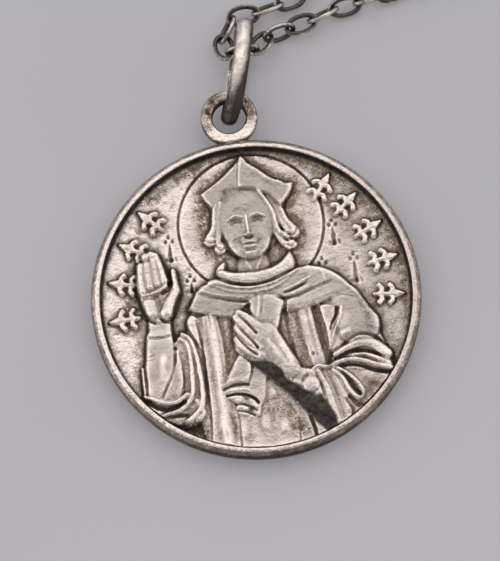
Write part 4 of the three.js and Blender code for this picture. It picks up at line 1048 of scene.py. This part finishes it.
places.feed(inputs["Roughness"], 0.14 + dark_share * 0.1 + mottle * 0.15)
places.feed(inputs["Normal"], bump(mottle * 0.9 + speck * 0.3, 0.5, 0.14))
bail_points = np.array(points)
across = np.tile([w / half_w for _, w in band_section], band_steps)
dark_end_y, dark_fade, dark_from_z = 17.6, 2.8, 1.2
toward_foot = (np.clip((dark_end_y - bail_points[:, 1]) / dark_fade, 0, 1)
               * np.clip((bail_points[:, 2] - dark_from_z) / 0.5, 0, 1))
# Painted shade darkens both edges of the band, the right one more; its upper strand also darkens towards the
# foot
right_edge_shade, left_edge_shade = np.clip(across + 0.1, 0, 1), np.clip(-across - 0.6, 0, 1)
bail_dark = 0.1 + 0.85 * toward_foot + 0.95 * right_edge_shade + 0.4 * left_edge_shade
bail = finished("bail", bail_points, faces, band_silver, {"dark": bail_dark})
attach(bail, "root")
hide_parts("bail")


# The chain is soldered oval cable links, blackened with age and worn light on their outer sides. It runs
# through the bail and back round its far end, and its whole length lies in one loop to the clasp.
link_length, link_width, link_wire, link_pitch = 2.7, 1.68, 0.38, 1.82
# The neck circle's radius and middle are those that the CAD part works out from the chain's length
neck_r, neck_x, neck_y = 59.293, 33.566, 86.947
neck_open, neck_axis = math.radians(58.5), math.radians(71.5)
half_turn = math.pi / 2 + neck_open
clasp_r, clasp_wire, eye_r, eye_wire, eye_bite = 3.0, 1.2, 1.25, 0.5, 0.3

# Links by the bail, in order from the left strand: centre x, y, z, heading, climb and roll in degrees. They
# were placed by eye and then eased apart by a small solver outside this script, until each hangs in the next.
held_links = (
    (6.88, 26.88, 0.75, -46.2, 2.8, 58.2),
    (7.88, 25.30, 0.61, -69.9, -6.2, -36.4),
    (7.47, 23.72, 0.73, -135, 0, 54),
    (5.92, 22.73, 0.69, -163, 1, -19),
    (4.09, 22.24, 0.75, -167, 1, 57),
    (2.22, 21.96, 0.76, -177, 1, -18),
    (0.86, 20.98, 0.81, -120, 7, 65),
    (0.42, 19.49, 1.26, -85, 22, 1),
    (1.73, 18.93, 1.55, 0, 0, 82),
    (3.20, 19.43, 1.17, 50, -20, -14),
    (4.66, 20.19, 0.80, 14, -6, 62),
    (6.41, 20.64, 0.72, 14, 1, 0),
    (8.12, 21.14, 0.78, 19, 1, -61),
    (9.85, 21.54, 0.73, 8, 0, 32),
)


def neck_point(angle):
    return (neck_x + neck_r * math.cos(neck_axis + angle), neck_y + neck_r * math.sin(neck_axis + angle))


def evenly(line, spacing):
    """Points spaced alike along a line, both ends kept."""
    line = np.array(line, float)
    run = np.append(0, np.cumsum(np.hypot(*np.diff(line, axis=0).T)))
    count = max(1, round(run[-1] / spacing))
    at = np.linspace(0, run[-1], count + 1)
    return np.stack([np.interp(at, run, line[:, 0]), np.interp(at, run, line[:, 1])], 1)


left_bend = (7.9, 25.6)
eye_out = clasp_r + eye_r - eye_bite
link_reach, link_half = (link_length - link_wire) / 2, (link_width - link_wire) / 2
first_out = (eye_out + link_reach) / neck_r
left_arc = [neck_point(a) for a in np.linspace(first_out, half_turn, 240)]
right_arc = [neck_point(-a) for a in np.linspace(first_out, half_turn, 240)]
left_way = evenly(left_arc + [left_bend, held_links[2][:2]], link_pitch)[:-3]
right_way = evenly([held_links[-2][:2]] + right_arc[::-1], link_pitch)[2:]
lie_low, lie_gap = 0.72, 0.03


def lying(roll_by):
    """The height of a link's middle when it lies on the table, rolled by so many degrees."""
    return max(lie_low, link_wire / 2 + link_half * abs(math.sin(math.radians(roll_by))) + lie_gap)


# Each link lies square to the next; near the clasp the chain twists until its end links stand upright
flat_roll, upright_roll, twist, twist_links, roll_play = 30, 60, 60, 5, 3
centres, rolls = [], []


def add_strand(way, side, from_bail, from_clasp):
    """Links along a strand; the last two count them from the bail and from the clasp."""
    for (x, y), bail_rank, clasp_rank in zip(way, from_bail, from_clasp):
        square = flat_roll if bail_rank % 2 else -upright_roll
        rolls.append(side * (square + twist * max(0, 1 - clasp_rank / twist_links)))
        centres.append((x, y, lying(rolls[-1])))


left_count, right_count = len(left_way), len(right_way)
add_strand(left_way, -1, range(left_count, 0, -1), range(left_count))
for x, y, z, _, _, roll_by in held_links:
    centres.append((x, y, z))
    rolls.append(roll_by)
add_strand(right_way, 1, range(right_count), range(right_count - 1, -1, -1))
centres = np.array(centres)
for i, z in ((0, 0.9), (1, 0.8)):
    centres[i, 2] = centres[-1 - i, 2] = z
ways = np.gradient(centres, axis=0)
for i, (_, _, _, heading, climb, _) in enumerate(held_links, left_count):
    h, c = math.radians(heading), math.radians(climb)
    ways[i] = (math.cos(h) * math.cos(c), math.sin(h) * math.cos(c), math.sin(c))
rng = np.random.default_rng(11)
turns = []
for i, (way, roll_by) in enumerate(zip(ways, rolls)):
    play = 0 if left_count <= i < left_count + len(held_links) else 1
    ahead = Vector(way).normalized()
    side = Vector((0, 0, 1)).cross(ahead).normalized()
    lifted = ahead.cross(side)
    a = math.radians(roll_by + play * rng.uniform(-roll_play, roll_play))
    across = side * math.cos(a) + lifted * math.sin(a)
    turns.append(tuple(Matrix((ahead, across, ahead.cross(across))).transposed().to_euler()))

route_data = bpy.data.meshes.new("chain_links")
route_data.from_pydata((centres * mm).tolist(), [], [])
turns_kept = route_data.attributes.new("turn", "FLOAT_VECTOR", "POINT")
turns_kept.data.foreach_set("vector", np.array(turns).ravel())
chain_links = bpy.data.objects.new("chain_links", route_data)
bpy.context.scene.collection.objects.link(chain_links)

oxidised, inputs, places = new_material("oxidised_silver")
mottle = noise(places, 1.5, 5, 0.65)
speck = noise(places, 10, 2, 0.5)
worn_share = (point_value(places, "worn") + (mottle - 0.5) * 1.2 + (speck - 0.5) * 0.4).ramp(0.45, 1.15)
black_colour = speck.ramp(0.3, 0.7).mixed((0.055, 0.043, 0.038, 1), (0.12, 0.1, 0.09, 1))
places.feed(inputs["Base Color"], worn_share.mixed(black_colour, (0.66, 0.60, 0.55, 1)))
inputs["Metallic"].default_value = 0.85
places.feed(inputs["Roughness"], 0.26 - worn_share * 0.1)
places.feed(inputs["Normal"], bump(speck, 0.4, 0.02))

# One oval link is bent from round wire to its sizes, and a copy set at every middle, turned as it lies
group = bpy.data.node_groups.new("cable_links", "GeometryNodeTree")
group.interface.new_socket("Geometry", in_out="INPUT", socket_type="NodeSocketGeometry")
named = {label: group.interface.new_socket(label, in_out="INPUT", socket_type="NodeSocketFloat")
         for label in ("Half length", "Half width", "Wire radius")}
named["Material"] = group.interface.new_socket("Material", in_out="INPUT", socket_type="NodeSocketMaterial")
group.interface.new_socket("Geometry", in_out="OUTPUT", socket_type="NodeSocketGeometry")


def added(kind, inputs=(), **settings):
    """A node of the group, its inputs fed by other nodes' outputs or set to values."""
    made = group.nodes.new(kind)
    for label, value in settings.items():
        setattr(made, label, value)
    for label, value in dict(inputs).items():
        if isinstance(value, bpy.types.NodeSocket):
            group.links.new(value, made.inputs[label])
        else:
            made.inputs[label].default_value = value
    return made


given = added("NodeGroupInput")
oval = added("GeometryNodeCurvePrimitiveCircle", {"Resolution": 36, "Radius": 1.0})
spot = added("GeometryNodeInputPosition")
size = added("ShaderNodeCombineXYZ", {0: given.outputs["Half length"], 1: given.outputs["Half width"]})
shaped = added("ShaderNodeVectorMath", {0: spot.outputs[0], 1: size.outputs[0]}, operation="MULTIPLY")
bent = added("GeometryNodeSetPosition", {"Geometry": oval.outputs[0], "Position": shaped.outputs[0]})
round_wire = added("GeometryNodeCurvePrimitiveCircle", {"Resolution": 12,
                                                        "Radius": given.outputs["Wire radius"]})
wire = added("GeometryNodeCurveToMesh", {"Curve": bent.outputs[0], "Profile Curve": round_wire.outputs[0]})
outward = added("GeometryNodeInputNormal")
from_middle = added("ShaderNodeVectorMath", {0: spot.outputs[0]}, operation="NORMALIZE")
outside = added("ShaderNodeVectorMath", {0: outward.outputs[0], 1: from_middle.outputs[0]},
                operation="DOT_PRODUCT")
marked = added("GeometryNodeStoreNamedAttribute", {"Geometry": wire.outputs[0], "Name": "worn",
                                                   "Value": outside.outputs["Value"]},
               data_type="FLOAT", domain="POINT")
turn_at = added("GeometryNodeInputNamedAttribute", {"Name": "turn"}, data_type="FLOAT_VECTOR")
turned = added("FunctionNodeEulerToRotation", {0: turn_at.outputs[0]})
placed = added("GeometryNodeInstanceOnPoints", {"Points": given.outputs["Geometry"],
                                                "Instance": marked.outputs[0],
                                                "Rotation": turned.outputs[0]})
real = added("GeometryNodeRealizeInstances", {"Geometry": placed.outputs[0]})
painted = added("GeometryNodeSetMaterial", {"Geometry": real.outputs[0],
                                            "Material": given.outputs["Material"]})
added("NodeGroupOutput", {0: painted.outputs[0]})

modifier = chain_links.modifiers.new("links", "NODES")
modifier.node_group = group
for label, value in (("Half length", link_reach * mm), ("Half width", link_half * mm),
                     ("Wire radius", link_wire / 2 * mm), ("Material", oxidised)):
    modifier[named[label].identifier] = value
bpy.context.view_layer.update()
linked = bpy.data.meshes.new_from_object(chain_links.evaluated_get(bpy.context.evaluated_depsgraph_get()))
chain_links.modifiers.clear()
chain_links.data = linked
linked.shade_smooth()
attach(chain_links, "root")
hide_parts("chain")


# The clasp is a spring ring of blackened silver tube with a thumb catch, and a wire eye soldered to each
# side. The chain's end links hang in the two eyes.
clasp_mid = np.array(neck_point(0))
clasp_z = clasp_wire / 2
catch_r, catch_turn = 0.34, 0.5
clasp_way = np.array([-math.sin(neck_axis), math.cos(neck_axis)])


def round_section(centre_r, r):
    return [(centre_r + r * math.cos(a), r * math.sin(a))
            for a in np.linspace(0, 2 * math.pi, 16, endpoint=False)]


clasp_parts = [lathed(round_section(clasp_r - clasp_wire / 2, clasp_wire / 2), 64, (*clasp_mid, clasp_z))]
for side in (-1, 1):
    eye_mid = clasp_mid + clasp_way * side * eye_out
    clasp_parts.append(lathed(round_section(eye_r - eye_wire / 2, eye_wire / 2), 40, (*eye_mid, clasp_z)))
catch_way = np.array([math.cos(neck_axis + catch_turn), math.sin(neck_axis + catch_turn)])
catch_mid = clasp_mid + catch_way * (clasp_r - clasp_wire * 0.45)
catch_section = [(0.001, -catch_r), (0.3, -0.3), (catch_r, 0.0), (0.3, 0.3), (0.001, catch_r)]
clasp_parts.append(lathed(catch_section, 20, (*catch_mid, clasp_z)))
clasp = joined_solid("clasp", clasp_parts, 0.06, oxidised)
from_mid = np.hypot(*(points_of(clasp)[:, :2] - clasp_mid).T)
keep_values(clasp.data, {"worn": np.clip((from_mid - clasp_r + clasp_wire * 0.6) / 0.6, 0, 1)})
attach(clasp, "root")
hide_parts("clasp")

bpy.context.scene.view_settings.view_transform = "Standard"
